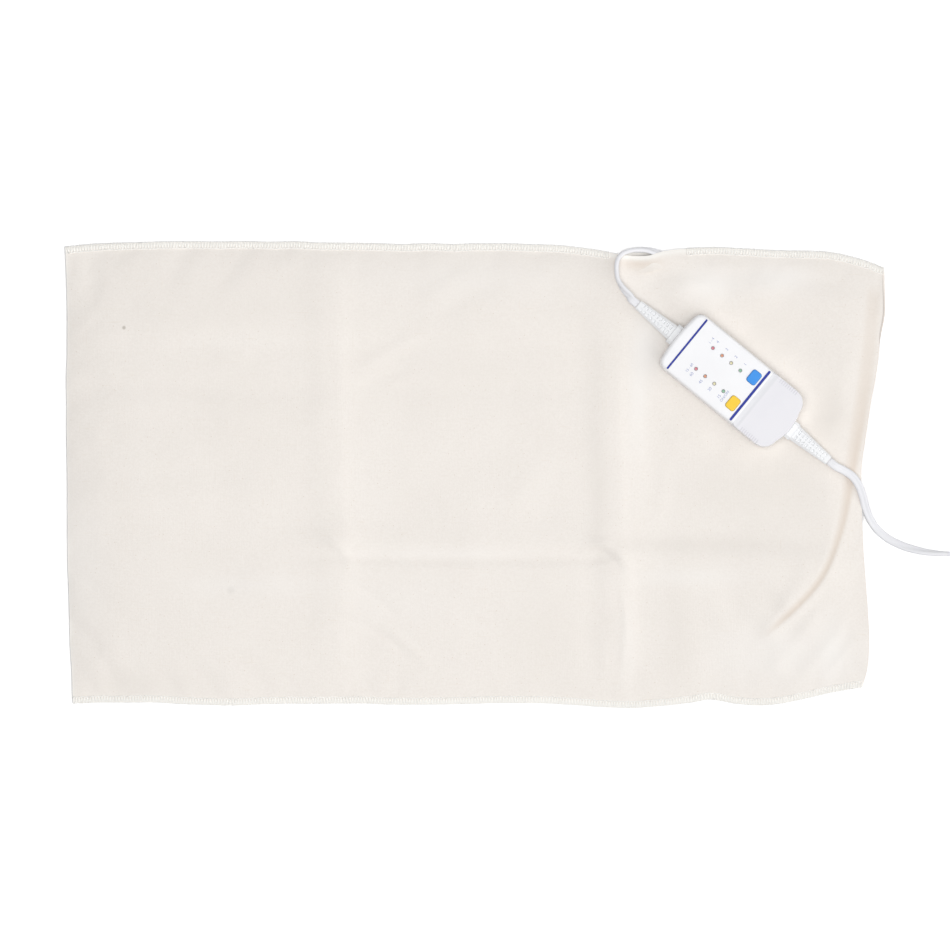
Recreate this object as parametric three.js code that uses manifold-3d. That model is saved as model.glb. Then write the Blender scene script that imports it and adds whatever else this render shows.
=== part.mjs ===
// A flannel heating pad with a hand controller, in millimetres, +Z up.
// The pad lies flat on z = 0 and is centred on the origin; its length runs along X.
import * as THREE from 'three';
import { mergeVertices } from 'three/addons/utils/BufferGeometryUtils.js';
import Module from 'manifold-3d';

const wasm = await Module();
wasm.setup();

// Clearances that several pieces share
const gap = 0.3;
const cutOverrun = 1;
const sameEnough = 0.001;

// Steps that round small corners and round pieces
const smallCornerSteps = 3;
const roundSides = 20;
const smallSides = 10;

// Cover: a flannel bag, folded at its left end, seamed along both long edges, open at its right end
const coverLength = 690;
const coverWidth = 392;
const clothThickness = 1;
const edgeLift = 1;
const edgeSlack = 0.2;
const seamWidth = 5.3;
const seamThread = 0.4;
const edgeRise = 8;
const undersideRise = 6.4;
const mouthRise = 24;
const mouthSlot = 1.8;
const creaseHeight = 1.3;
const creaseHalfWidth = 16;
const mouthFoldHeight = 3.6;
const mouthFoldHalfWidth = 13;
const seatMargin = 21;

// Outline of the cover, as shares of its half length and half width
const rearEdgeShares = [
  [-1, 0.977], [-0.915, 0.992], [-0.617, 1], [-0.402, 0.997], [-0.183, 0.99], [0.027, 0.99],
  [0.188, 0.985], [0.295, 0.965], [0.345, 0.95], [0.38, 0.942], [0.42, 0.942], [0.46, 0.958],
  [0.549, 0.974], [0.724, 0.964], [0.866, 0.953], [0.939, 0.925], [1, 0.887],
];
const frontEdgeShares = [
  [-0.981, -0.982], [-0.793, -0.978], [-0.617, -0.991], [-0.427, -0.984], [-0.134, -0.986],
  [0.134, -0.982], [0.402, -1], [0.524, -0.98], [0.573, -0.965], [0.634, -0.982], [0.695, -0.991],
  [0.778, -0.973], [0.886, -0.931], [0.946, -0.913],
];
const leftFoldShares = [
  [-0.981, -0.982], [-0.984, -0.865], [-0.99, -0.624], [-0.995, -0.169], [-0.998, 0.32],
  [-0.995, 0.749], [-1, 0.977],
];
const mouthEdgeShares = [
  [0.946, -0.913], [0.959, -0.818], [0.961, -0.711], [0.949, -0.324], [0.944, 0.019],
  [0.959, 0.217], [0.981, 0.448], [0.988, 0.556], [1, 0.681], [1, 0.887],
];

// Fold lines left by the pad's packing, as shares of the cover's length and width
const creaseAcrossShares = [0.333, 0.687];
const creaseAlongShares = [0.328, 0.698];

// Loose fold of cloth near the mouth, as shares of the cover's half length and half width
const mouthFoldShares = [
  [0.971, 0.831], [0.94, 0.45], [0.91, 0.045], [0.89, -0.242], [0.837, -0.457], [0.715, -0.672],
];
const mouthFoldFullShares = [0.25, 0.7];
const mouthFoldSteps = 60;

// Gap in the rear seam where the lead goes in, as shares of the cover's half length
const leadGapStartShare = 0.33;
const leadGapMiddleShare = 0.462;
const leadGapEndShare = 0.515;
const leadGapHalfLength = 26;
const leadGapFullShare = 0.5;
const leadTunnelEndShare = 0.58;

// Mesh of the cover
const columnSteps = [1, 6, 6, 12, 4];
const rowSteps = [1, 1, 4, 4, 4, 1, 1];
const seamLineSteps = 26;
const ringStepsAlong = 10;
const ringStepsAcross = 5;

// Inner pad: welded shell, carrier, wire and felt
const innerFoldMargin = 22.5;
const innerMouthMargin = 47.5;
const innerSideMargin = 31;
const innerCornerRadius = 14;
const innerCornerSteps = 4;
const shellThickness = 0.6;
const carrierThickness = 0.8;
const wireDiameter = 2;
const feltThickness = 1.8;
const layerInset = 6;

// Heating wire: a serpentine of long runs
const wireRuns = 10;
const wireMargin = 16;
const wireSides = 6;
const wireBendSteps = 8;

// Thermostats, in windows of the felt
const thermostatLength = 20;
const thermostatWidth = 7.5;
const thermostatHeight = 3.4;
const thermostatRadius = 1.6;
const thermostatShares = [[-0.62, 0.6], [0, -0.2], [0.62, 0.2]];
const windowClearance = 1.5;

// Block where the lead enters the inner pad
const blockLength = 16;
const blockWidth = 30;
const blockHeight = 6;
const blockSideMargin = 43;
const blockNoseLength = 8;
const blockNoseWidth = 10;
const blockCornerRadius = 2;

// Controller case, in its own frame: x towards the mains cord, z up from its underside
const caseLength = 124;
const caseWidth = 57.5;
const caseHeight = 24;
const caseBottomHeight = 10;
const caseFromMouth = 127.8;
const caseFromRear = 118.8;
const caseTurnDegrees = -39.3;
const caseWall = 2;
const caseFloor = 1.8;
const caseRoof = 1.8;
const caseDraft = 0.5;
const topEdgeRadius = 3;
const bottomEdgeRadius = 2;
const leadCornerRadius = 8;
const mainsCornerRadius = 13;
const leadEndBow = 1.5;
const mainsEndBow = 3;
const cornerSteps = 5;
const filletSteps = 3;

// Grip at the mains end of the top case
const gripStart = 20.5;
const gripBevel = 3.5;
const gripDrop = 1.6;
const gripNotchCount = 9;
const gripNotchStart = 29;
const gripNotchPitch = 2.1;
const gripNotchWidth = 0.9;
const gripNotchReach = 4.5;
const gripNotchDepth = 0.6;

// Two inlaid bars across the face
const barLength = 53.2;
const leadBarWidth = 1.6;
const mainsBarWidth = 2.1;
const leadBarX = -50.7;
const mainsBarX = 17.5;
const barDepth = 0.7;
const barProud = 0.1;
const barClearance = 0.15;
const barEndSteps = 4;

// Keys and the switches below them
const keyLength = 8.8;
const keyWidth = 11.6;
const keyCornerRadius = 2;
const keyX = 10.4;
const keyY = 14;
const keyProud = 1;
const keyCrown = 0.5;
const keyTravel = 0.6;
const keyFlangeReach = 1.4;
const keyFlangeThickness = 1;
const switchSide = 6;
const switchHeight = 2.6;
const plungerDiameter = 3.2;
const plungerRound = 12;
const plungerSeat = 1.3;

// Indicator lights in two rows
const lightCount = 4;
const lightFirstX = -31.9;
const lightPitch = 9.9;
const lightRowY = 11.2;
const lightDiameter = 2.8;
const lightFootDiameter = 3.8;
const lightFootHeight = 2.2;
const lightProud = 0.3;
const domeSteps = 2;

// Circuit board and what it carries
const boardEndMargin = 13.5;
const boardSideMargin = 2.75;
const boardThickness = 1.6;
const boardUnderside = 14.4;
const chipLength = 10;
const chipWidth = 6.2;
const chipHeight = 1.7;
const chipX = -18;
const capacitorLength = 18;
const capacitorWidth = 8;
const capacitorHeight = 9.5;
const capacitorX = 14;
const capacitorY = 12;
const triacLength = 10;
const triacWidth = 4.6;
const triacHeight = 9;
const triacX = -22;
const triacY = -12;
const fuseLength = 15;
const fuseDiameter = 5.2;
const fuseX = 14;
const fuseY = -11;
const terminalLength = 6;
const terminalWidth = 12;
const terminalHeight = 7;

// Case screws, driven from below
const screwEndMargin = 26;
const screwHeadDiameter = 5.4;
const screwHeadHeight = 2;
const screwShankDiameter = 2.6;
const screwEngagement = 4;
const screwRecess = 0.6;
const bossDiameter = 8;

// Strain reliefs at both ends of the case
const reliefNeckWidth = 11;
const reliefNeckHeight = 7;
const reliefAnchorWidth = 15;
const reliefAnchorHeight = 10;
const reliefAnchorThickness = 2.2;
const leadFlangeWidth = 18.2;
const mainsFlangeWidth = 16.2;
const reliefFlangeHeight = 12;
const reliefFlangeThickness = 4.2;
const reliefBaseWidth = 14.2;
const reliefBaseHeight = 10;
const reliefTipWidth = 8.2;
const reliefTipHeight = 5;
const reliefSleeveLength = 37;
const reliefRailShares = [0.35, 0.45];
const reliefFlankShares = [0.5, 0.2];
const slotCount = 9;
const slotPitch = 3.6;
const slotWidth = 1.7;
const slotBevel = 0.3;
const slotStart = 2.6;
const slotDepth = 1.5;
const slotFadeShare = 0.5;
const spineWidth = 2;

// Flat twin cord
const cordWidth = 7;
const cordThickness = 3.8;
const cordStep = 9;
const cordWaistShare = 0.8;
const cordShoulderShare = 0.55;

// Routes of the cords. Points are X and Y from the corner where the rear edge meets the mouth, Z, and
// the roll in degrees. The lead runs from the controller's tip to the inner pad.
const leadRoute = [
  [-215, -45.8, 19, 25], [-220.5, -39.5, 17.2, 60], [-224.7, -31.9, 15.4, 90], [-225.9, -25.2, 14.4, 90],
  [-225.9, -19.7, 13.6, 90], [-224.7, -14.7, 12.2, 90], [-220.9, -10.2, 10.2, 90], [-215, -7.8, 8.2, 90],
  [-208.5, -6.8, 6.4, 75], [-200.5, -7, 5.2, 40], [-193.5, -8.8, 4.5, 10], [-186.5, -11.8, 4.2, 0],
  [-179, -15.8, 3.9, 0], [-171, -19.6, 3.6, 0], [-162, -22.8, 3.3, 0], [-152, -24.4, 3.2, 0],
  [-120, -24.8, 3.2, 0], [-90, -24.8, 3.2, 0], [-69, -24.8, 3.2, 0], [-57, -26.2, 3.2, 0],
  [-47, -31.2, 3.2, 0], [-41, -39.2, 3.2, 0],
];

// The mains cord runs from the controller's other tip over the mouth's edge and the floor to the coil
const mainsRoute = [
  [-35.7, -192.1, 17.3, 0], [-27.8, -197.3, 15.4, 0], [-22.4, -204.6, 13.4, 0], [-19, -213, 11, 0],
  [-16.4, -223, 7.6, 0], [-12.5, -233, 4.4, 0], [-6, -242.5, 2.4, 0], [3, -250, 2.05, 0],
  [14, -255.6, 2.5, 8], [26, -259.4, 3.1, 30], [39, -261.8, 3.5, 60], [55, -262.9, 3.6, 90],
  [80, -263, 3.6, 90],
];

// Coil of the mains cord: two layers, with the cord on its edge
const coilFromMouth = 119;
const coilFromRear = 313;
const coilOuterRadius = 50;
const coilTurns = 7.25;
const coilClimbTurns = 0.5;
const coilPitch = 5;
const coilLayerRise = 7.6;
const coilFloorGap = 0.1;
const coilStepsPerTurn = 24;
const coilShoulderShare = 0.28;
const tailLength = 74;
const tailSteps = 8;
const tailStartShare = 0.3;
const tailEndShare = 0.88;

// Plug at the cord's free end
const plugLength = 28;
const plugWidth = 25;
const plugHeight = 15;
const plugNeckLength = 18;
const plugNeckWidth = 11;
const plugNeckHeight = 9.4;
const plugNeckTaper = 1.4;
const plugFaceBevel = 0.8;
const plugShoulderLength = 4;
const plugWaistLength = 13;
const plugShoulderShare = 0.8;
const plugWaistShare = 0.76;
const plugSectionPoints = 20;
const plugSectionPower = 0.4;
const bladeSpacing = 12.7;
const bladeLength = 17;
const bladeSeat = 6;
const bladeWidth = 6.3;
const wideBladeWidth = 7.9;
const bladeThickness = 1.5;
const bladeHoleDiameter = 3;
const bladeHoleShare = 0.72;

// Heights of the pad's layers, from the floor up
const shellBottomZ = clothThickness + gap;
const carrierZ = shellBottomZ + shellThickness + gap;
const wireZ = carrierZ + carrierThickness + gap;
const feltZ = wireZ + wireDiameter + gap;
const shellTopZ = feltZ + feltThickness + gap;
const pocketTopZ = shellTopZ + shellThickness + gap;
const padTop = pocketTopZ + clothThickness;
const innerLength = coverLength - innerFoldMargin - innerMouthMargin;
const innerWidth = coverWidth - 2 * innerSideMargin;
const innerCentreX = (innerFoldMargin - innerMouthMargin) / 2;
const blockCentreY = innerWidth / 2 - blockSideMargin;
const edgeTop = edgeLift + 2 * clothThickness + edgeSlack;
const mouthFloor = edgeLift + clothThickness;
const mouthTop = mouthFloor + mouthSlot + clothThickness;
const seamBand = seamWidth + gap;
const caseZ = padTop + gap;
const caseCentreX = coverLength / 2 - caseFromMouth;
const caseCentreY = coverWidth / 2 - caseFromRear;
const caseTurn = THREE.MathUtils.degToRad(caseTurnDegrees);
const reliefAxisZ = caseBottomHeight + gap / 2;
const boardLength = caseLength - 2 * (caseWall + caseDraft + boardEndMargin);
const boardWidth = caseWidth - 2 * (caseWall + boardSideMargin);
const boardTop = boardUnderside + boardThickness;
const ceilingZ = caseHeight - caseRoof;
const screwX = caseLength / 2 - screwEndMargin;
const coilCentreX = coverLength / 2 + coilFromMouth;
const coilCentreY = coverWidth / 2 - coilFromRear;

// Finish of each piece
const finishes = {
  flannel: { color: 0xeee9e2, roughness: 0.95 },
  thread: { color: 0xf4f1ea, roughness: 0.9 },
  shell: { color: 0xe9e6dc, roughness: 0.5 },
  felt: { color: 0xf2efe6, roughness: 0.95 },
  carrier: { color: 0xdcd9cf, roughness: 0.9 },
  wire: { color: 0xc9b48a, roughness: 0.6 },
  thermostat: { color: 0x35332f, roughness: 0.5 },
  cord: { color: 0xf0f1f0, roughness: 0.4 },
  plastic: { color: 0xf1f1f5, roughness: 0.35 },
  navy: { color: 0x34409c, roughness: 0.4 },
  blueKey: { color: 0x3f93f0, roughness: 0.45 },
  yellowKey: { color: 0xffcb45, roughness: 0.45 },
  black: { color: 0x2b2b2e, roughness: 0.5 },
  board: { color: 0x2e6b43, roughness: 0.5 },
  capacitor: { color: 0xb98a3a, roughness: 0.4 },
  glass: { color: 0xd5dcd8, roughness: 0.15 },
  steel: { color: 0xb9bbbf, roughness: 0.3, metalness: 0.9 },
  brass: { color: 0xc9a14e, roughness: 0.3, metalness: 0.9 },
};
const lampFinishes = [0xd2402f, 0xe07a2a, 0xe3c94a, 0x4fa35a].map((color) => ({ color, roughness: 0.25 }));

// Mesh helpers

function closedGeometry(points, triangles) {
  const geometry = new THREE.BufferGeometry();
  const places = points.flatMap((p) => [p.x, p.y, p.z]);
  geometry.setAttribute('position', new THREE.Float32BufferAttribute(places, 3));
  const volume = triangles.reduce((sum, [a, b, c]) => {
    const cross = new THREE.Vector3().crossVectors(points[b], points[c]);
    return sum + points[a].dot(cross);
  }, 0);
  const outward = volume > 0 ? triangles : triangles.map(([a, b, c]) => [a, c, b]);
  geometry.setIndex(outward.flat());
  return geometry;
}

// Joins rings of equally many points into one closed body; flatRing gives an end ring in two dimensions
function loft(rings, flatRing = (ring) => ring.map((p) => new THREE.Vector2(p.x, p.y))) {
  const count = rings[0].length;
  const points = rings.flat();
  const triangles = [];
  for (let r = 0; r < rings.length - 1; r += 1) {
    for (let i = 0; i < count; i += 1) {
      const a = r * count + i;
      const b = r * count + ((i + 1) % count);
      triangles.push([a, b, b + count], [a, b + count, a + count]);
    }
  }
  const last = (rings.length - 1) * count;
  for (const [a, b, c] of capTriangles(flatRing(rings[0]))) {
    triangles.push([a, c, b]);
  }
  for (const [a, b, c] of capTriangles(flatRing(rings.at(-1)))) {
    triangles.push([last + a, last + b, last + c]);
  }
  return closedGeometry(points, triangles);
}

// Flat view of a ring that stands across the x axis
const acrossLength = (ring) => ring.map((p) => new THREE.Vector2(p.y, p.z));

// Triangles of a flat ring, turned the same way round as the ring runs
function capTriangles(ring) {
  const faces = THREE.ShapeUtils.triangulateShape(ring, []);
  return THREE.ShapeUtils.isClockWise(ring) ? faces.map(([a, b, c]) => [a, c, b]) : faces;
}

function solidOf(geometry) {
  const bare = geometry.clone();
  bare.deleteAttribute('normal');
  bare.deleteAttribute('uv');
  const merged = mergeVertices(bare);
  return new wasm.Manifold(new wasm.Mesh({
    numProp: 3,
    vertProperties: new Float32Array(merged.attributes.position.array),
    triVerts: new Uint32Array(merged.index.array),
  }));
}

function geometryOf(solid) {
  const mesh = solid.getMesh();
  const geometry = new THREE.BufferGeometry();
  geometry.setAttribute('position', new THREE.Float32BufferAttribute(mesh.vertProperties, 3));
  geometry.setIndex(Array.from(mesh.triVerts));
  return geometry;
}

function cut(geometry, tools) {
  return geometryOf(tools.reduce((solid, tool) => solid.subtract(solidOf(tool)), solidOf(geometry)));
}

function join(geometries) {
  return geometryOf(geometries.map(solidOf).reduce((solid, other) => solid.add(other)));
}

function box(x0, x1, y0, y1, z0, z1) {
  const geometry = new THREE.BoxGeometry(x1 - x0, y1 - y0, z1 - z0);
  return geometry.translate((x0 + x1) / 2, (y0 + y1) / 2, (z0 + z1) / 2);
}

function cylinder(diameter, x, y, z0, z1, sides = roundSides) {
  const geometry = new THREE.CylinderGeometry(diameter / 2, diameter / 2, z1 - z0, sides);
  return geometry.rotateX(Math.PI / 2).translate(x, y, (z0 + z1) / 2);
}

function turned(profile, sides) {
  const points = profile.map(([radius, height]) => new THREE.Vector2(radius, height));
  return new THREE.LatheGeometry(points, sides).rotateX(Math.PI / 2);
}

function roundedRectangle(length, width, radius, steps) {
  const points = [];
  const corners = [[1, 1, 0], [-1, 1, 1], [-1, -1, 2], [1, -1, 3]];
  for (const [sx, sy, quarter] of corners) {
    for (let i = 0; i <= steps; i += 1) {
      const angle = (quarter + i / steps) * Math.PI / 2;
      const x = sx * (length / 2 - radius) + radius * Math.cos(angle);
      points.push(new THREE.Vector2(x, sy * (width / 2 - radius) + radius * Math.sin(angle)));
    }
  }
  return points.filter((p, i) => p.distanceTo(points.at(i - 1)) > sameEnough);
}

function plate(outline, z0, z1) {
  return loft([z0, z1].map((z) => outline.map((p) => new THREE.Vector3(p.x, p.y, z))));
}

function node(name, geometry, finish) {
  const shaded = geometry.index ? geometry.toNonIndexed() : geometry;
  shaded.computeVertexNormals();
  const mesh = new THREE.Mesh(shaded, new THREE.MeshStandardMaterial({ metalness: 0, ...finish }));
  mesh.name = name;
  return mesh;
}

const clamp01 = (value) => THREE.MathUtils.clamp(value, 0, 1);

// Breaks the stretches between stops into equal steps
function subdivide(stops, steps) {
  const shares = [stops[0]];
  steps.forEach((count, stretch) => {
    for (let i = 1; i <= count; i += 1) {
      shares.push(THREE.MathUtils.lerp(stops[stretch], stops[stretch + 1], i / count));
    }
  });
  return shares;
}

// Cover surface

function edgeCurve(shares) {
  const points = shares.map(([x, y]) => new THREE.Vector3(x * coverLength / 2, y * coverWidth / 2, 0));
  return new THREE.CatmullRomCurve3(points, false, 'centripetal');
}

const rearEdge = edgeCurve(rearEdgeShares);
const frontEdge = edgeCurve(frontEdgeShares);
const leftFold = edgeCurve(leftFoldShares);
const mouthEdge = edgeCurve(mouthEdgeShares);
const mouthFold = edgeCurve(mouthFoldShares).getSpacedPoints(mouthFoldSteps);
const widthAt = (u) => frontEdge.getPointAt(u).distanceTo(rearEdge.getPointAt(u));

// Point of the cover in plan: u runs from the left fold to the mouth, v from the front edge to the rear
function coverPoint(u, v) {
  const [front, rear] = [frontEdge.getPointAt(u), rearEdge.getPointAt(u)];
  const [left, mouth] = [leftFold.getPointAt(v), mouthEdge.getPointAt(v)];
  const along = new THREE.Vector3().lerpVectors(front, rear, v);
  const across = new THREE.Vector3().lerpVectors(left, mouth, u);
  const frontCorners = new THREE.Vector3().lerpVectors(frontEdge.getPoint(0), frontEdge.getPoint(1), u);
  const rearCorners = new THREE.Vector3().lerpVectors(rearEdge.getPoint(0), rearEdge.getPoint(1), u);
  return along.add(across).sub(frontCorners.lerp(rearCorners, v));
}

const columnShares = subdivide(
  [0, edgeRise / coverLength, ...creaseAcrossShares, 1 - mouthRise / coverLength, 1],
  columnSteps,
);

function rowShares(u) {
  const edge = seamBand / widthAt(u);
  const risen = (seamBand + edgeRise) / widthAt(u);
  return subdivide([0, edge, risen, ...creaseAlongShares, 1 - risen, 1 - edge, 1], rowSteps);
}

function foldShare(distance, halfWidth) {
  return clamp01(1 - distance / halfWidth);
}

// How far a point in plan lies from the controller's footprint
function fromCase(point) {
  const local = point.clone().sub(new THREE.Vector3(caseCentreX, caseCentreY, 0));
  local.applyAxisAngle(new THREE.Vector3(0, 0, 1), -caseTurn);
  return Math.max(Math.abs(local.x) - caseLength / 2, Math.abs(local.y) - caseWidth / 2);
}

function mouthFoldLift(point) {
  let nearest = Infinity;
  let nearestShare = 0;
  mouthFold.forEach((p, i) => {
    const distance = p.distanceTo(point);
    if (distance < nearest) {
      nearest = distance;
      nearestShare = i / (mouthFold.length - 1);
    }
  });
  const [full, fading] = mouthFoldFullShares;
  const ends = Math.min(clamp01(nearestShare / full), clamp01((1 - nearestShare) / (1 - fading)));
  return mouthFoldHeight * ends * foldShare(nearest, mouthFoldHalfWidth);
}

function leadGapLift(point, fromRear) {
  const along = foldShare(Math.abs(point.x - leadGapMiddleShare * coverLength / 2), leadGapHalfLength);
  const tunnelTop = edgeLift + 2 * clothThickness + cordThickness + 2 * gap;
  const fadedIn = clamp01(1 - (fromRear - seamBand) / edgeRise);
  return (tunnelTop - edgeTop) * clamp01(along / leadGapFullShare) * fadedIn;
}

// Height of the cover's upper face
function coverTop(u, v) {
  const point = coverPoint(u, v);
  const width = widthAt(u);
  const fromSeam = Math.min(v, 1 - v) * width - seamBand;
  const risen = Math.min(clamp01(fromSeam / edgeRise), clamp01(u * coverLength / edgeRise));
  const atMouth = clamp01((1 - u) * coverLength / mouthRise);
  const plain = Math.min(
    THREE.MathUtils.lerp(edgeTop, padTop, risen),
    THREE.MathUtils.lerp(mouthTop, padTop, atMouth),
  );
  const [left, right] = creaseAcrossShares.map((share) => Math.abs(u - share) * coverLength);
  const [front, rear] = creaseAlongShares.map((share) => Math.abs(v - share) * width);
  const crease = creaseHeight * foldShare(Math.min(left, right, front, rear), creaseHalfWidth);
  const offSeat = clamp01(fromCase(point) / seatMargin - 1);
  const folds = (crease + mouthFoldLift(point)) * risen * offSeat;
  return plain + folds + leadGapLift(point, (1 - v) * width) * (1 - risen);
}

// Closed ring in plan, inset from the seams, the left fold and the mouth
function insetRing(side, atMouth, z, stepsAlong = ringStepsAlong) {
  const along = subdivide([side / coverLength, 1 - atMouth / coverLength], [stepsAlong]);
  const inset = (u) => side / widthAt(u);
  const first = along[0];
  const last = along.at(-1);
  const across = (u) => subdivide([inset(u), 1 - inset(u)], [ringStepsAcross]);
  const ring = [
    ...along.map((u) => coverPoint(u, inset(u))),
    ...across(last).slice(1, -1).map((v) => coverPoint(last, v)),
    ...along.toReversed().map((u) => coverPoint(u, 1 - inset(u))),
    ...across(first).slice(1, -1).toReversed().map((v) => coverPoint(first, v)),
  ];
  return ring.map((p) => p.setZ(z));
}

function coverBody() {
  const points = [];
  const triangles = [];
  const grid = columnShares.map((u) => rowShares(u).map((v) => {
    points.push(coverPoint(u, v).setZ(coverTop(u, v)));
    return points.length - 1;
  }));
  const lastColumn = grid.length - 1;
  const lastRow = grid[0].length - 1;
  for (let i = 0; i < lastColumn; i += 1) {
    for (let j = 0; j < lastRow; j += 1) {
      const [a, b, c, d] = [grid[i][j], grid[i + 1][j], grid[i + 1][j + 1], grid[i][j + 1]];
      triangles.push([a, b, c], [a, c, d]);
    }
  }
  const rim = [
    ...grid.slice(0, -1).map((column) => column[0]),
    ...grid[lastColumn].slice(0, -1),
    ...grid.slice(1).toReversed().map((column) => column[lastRow]),
    ...grid[0].slice(1).toReversed(),
  ];
  const addRing = (ring) => ring.map((p) => points.push(p) - 1);
  const foot = addRing(rim.map((index) => points[index].clone().setZ(edgeLift)));
  rim.forEach((index, i) => {
    const next = (i + 1) % rim.length;
    triangles.push([foot[i], foot[next], rim[next]], [foot[i], rim[next], index]);
  });
  const seamLine = addRing(insetRing(seamBand, seamBand, edgeLift, seamLineSteps));
  const rest = addRing(insetRing(seamBand + undersideRise, seamBand + undersideRise, 0));
  const flat = (ring) => ring.map((index) => new THREE.Vector2(points[index].x, points[index].y));
  const fill = (outer, inner) => {
    const all = [...outer, ...inner];
    const holes = inner.length ? [flat(inner)] : [];
    const faces = THREE.ShapeUtils.triangulateShape(flat(outer), holes);
    faces.forEach(([a, b, c]) => triangles.push([all[a], all[c], all[b]]));
  };
  fill(foot, seamLine);
  fill(seamLine, rest);
  fill(rest, []);
  return closedGeometry(points, triangles);
}

// Pocket for the inner pad, and the slot that opens it at the mouth
function coverPocket() {
  const side = seamBand + edgeRise + clothThickness - gap / 2;
  const lens = loft([
    insetRing(side - edgeRise + gap, mouthRise - edgeRise + gap, clothThickness + edgeLift),
    insetRing(side, mouthRise + 2 * clothThickness, pocketTopZ),
  ]);
  const floor = loft([
    insetRing(seamBand + undersideRise, mouthRise, clothThickness),
    insetRing(seamBand + clothThickness, mouthRise - edgeRise, clothThickness + edgeLift + gap),
  ]);
  const inner = 1 - mouthRise / coverLength;
  const margin = (u) => (seamBand + clothThickness) / widthAt(u);
  const shares = (u) => subdivide([margin(u), 1 - margin(u)], [ringStepsAcross]);
  const outside = new THREE.Vector3(cutOverrun, 0, 0);
  const outline = [
    ...shares(1).map((v) => coverPoint(1, v).add(outside)),
    ...shares(inner).toReversed().map((v) => coverPoint(inner, v)),
  ];
  const slot = plate(outline, mouthFloor, mouthFloor + mouthSlot);
  return [lens, floor, slot];
}

// Overlock stitching that wraps a long edge of the cover, between two shares of the half length
function seam(edge, rear, startShare, endShare) {
  const rowOf = (share) => (rear ? 1 - share : share);
  const shares = columnShares.filter((u) => {
    const share = edge.getPointAt(u).x / (coverLength / 2);
    return share >= startShare && share <= endShare;
  });
  const rings = shares.map((u) => {
    const width = widthAt(u);
    const at = (inward) => coverPoint(u, rowOf(Math.max(inward, 0) / width));
    const outward = at(0).sub(at(seamWidth)).normalize();
    const innerEdge = at(seamWidth);
    const outerEdge = at(0).addScaledVector(outward, gap);
    const outerFace = at(0).addScaledVector(outward, gap + seamThread);
    const upper = coverTop(u, rowOf(0)) + gap;
    const lower = edgeLift - gap;
    return [
      innerEdge.clone().setZ(lower - seamThread), outerFace.clone().setZ(lower - seamThread),
      outerFace.clone().setZ(upper + seamThread), innerEdge.clone().setZ(upper + seamThread),
      innerEdge.clone().setZ(upper), outerEdge.clone().setZ(upper),
      outerEdge.clone().setZ(lower), innerEdge.clone().setZ(lower),
    ];
  });
  return loft(rings, acrossLength);
}

// Inner pad

function innerLayer(z, thickness, inset) {
  const outline = roundedRectangle(
    innerLength - 2 * inset, innerWidth - 2 * inset, innerCornerRadius, innerCornerSteps,
  );
  return plate(outline, z, z + thickness).translate(innerCentreX, 0, 0);
}

const thermostatPlaces = thermostatShares.map(([x, y]) => [
  innerCentreX + x * innerLength / 2,
  y * innerWidth / 2,
]);

function feltLayer() {
  const windows = thermostatPlaces.map(([x, y]) => {
    const halfLength = thermostatLength / 2 + windowClearance;
    const halfWidth = thermostatWidth / 2 + windowClearance;
    return box(
      x - halfLength, x + halfLength, y - halfWidth, y + halfWidth,
      feltZ - cutOverrun, feltZ + feltThickness + cutOverrun,
    );
  });
  return cut(innerLayer(feltZ, feltThickness, layerInset), windows);
}

// Cross-sections of a round wire or an oval cord, as two-dimensional points
function roundSection(diameter, sides) {
  return Array.from({ length: sides }, (_, i) => {
    const angle = (i + 0.5) / sides * 2 * Math.PI;
    return new THREE.Vector2(Math.cos(angle), Math.sin(angle)).multiplyScalar(diameter / 2);
  });
}

// Sweeps a section along a line of points; roll turns it about the line, in radians, from lying flat
function sweep(points, section, roll = () => 0) {
  const up = new THREE.Vector3(0, 0, 1);
  const rings = points.map((point, i) => {
    const before = points[Math.max(i - 1, 0)];
    const after = points[Math.min(i + 1, points.length - 1)];
    const ahead = after.clone().sub(before).normalize();
    const side = new THREE.Vector3().crossVectors(ahead, up).normalize();
    const over = new THREE.Vector3().crossVectors(side, ahead);
    const angle = roll(i);
    return section.map((p) => {
      const x = p.x * Math.cos(angle) - p.y * Math.sin(angle);
      const y = p.x * Math.sin(angle) + p.y * Math.cos(angle);
      return point.clone().addScaledVector(side, x).addScaledVector(over, y);
    });
  });
  return loft(rings, () => section);
}

function heatingWire() {
  const halfRun = innerLength / 2 - layerInset - wireMargin;
  const pitch = (innerWidth - 2 * (layerInset + wireMargin)) / (wireRuns - 1);
  const z = wireZ + wireDiameter / 2;
  const points = [];
  for (let run = 0; run < wireRuns; run += 1) {
    const y = (run - (wireRuns - 1) / 2) * pitch;
    const heading = run % 2 === 0 ? -1 : 1;
    const straight = halfRun - pitch / 2;
    points.push(new THREE.Vector3(innerCentreX - heading * straight, y, z));
    points.push(new THREE.Vector3(innerCentreX + heading * straight, y, z));
    for (let i = 1; i < wireBendSteps && run < wireRuns - 1; i += 1) {
      const angle = (i / wireBendSteps - 0.5) * Math.PI;
      const x = innerCentreX + heading * (straight + pitch / 2 * Math.cos(angle));
      points.push(new THREE.Vector3(x, y + pitch / 2 + pitch / 2 * Math.sin(angle), z));
    }
  }
  return sweep(points, roundSection(wireDiameter, wireSides));
}

function thermostat(x, y) {
  const outline = roundedRectangle(thermostatLength, thermostatWidth, thermostatRadius, smallCornerSteps);
  return plate(outline, wireZ, wireZ + thermostatHeight).translate(x, y, 0);
}

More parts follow.
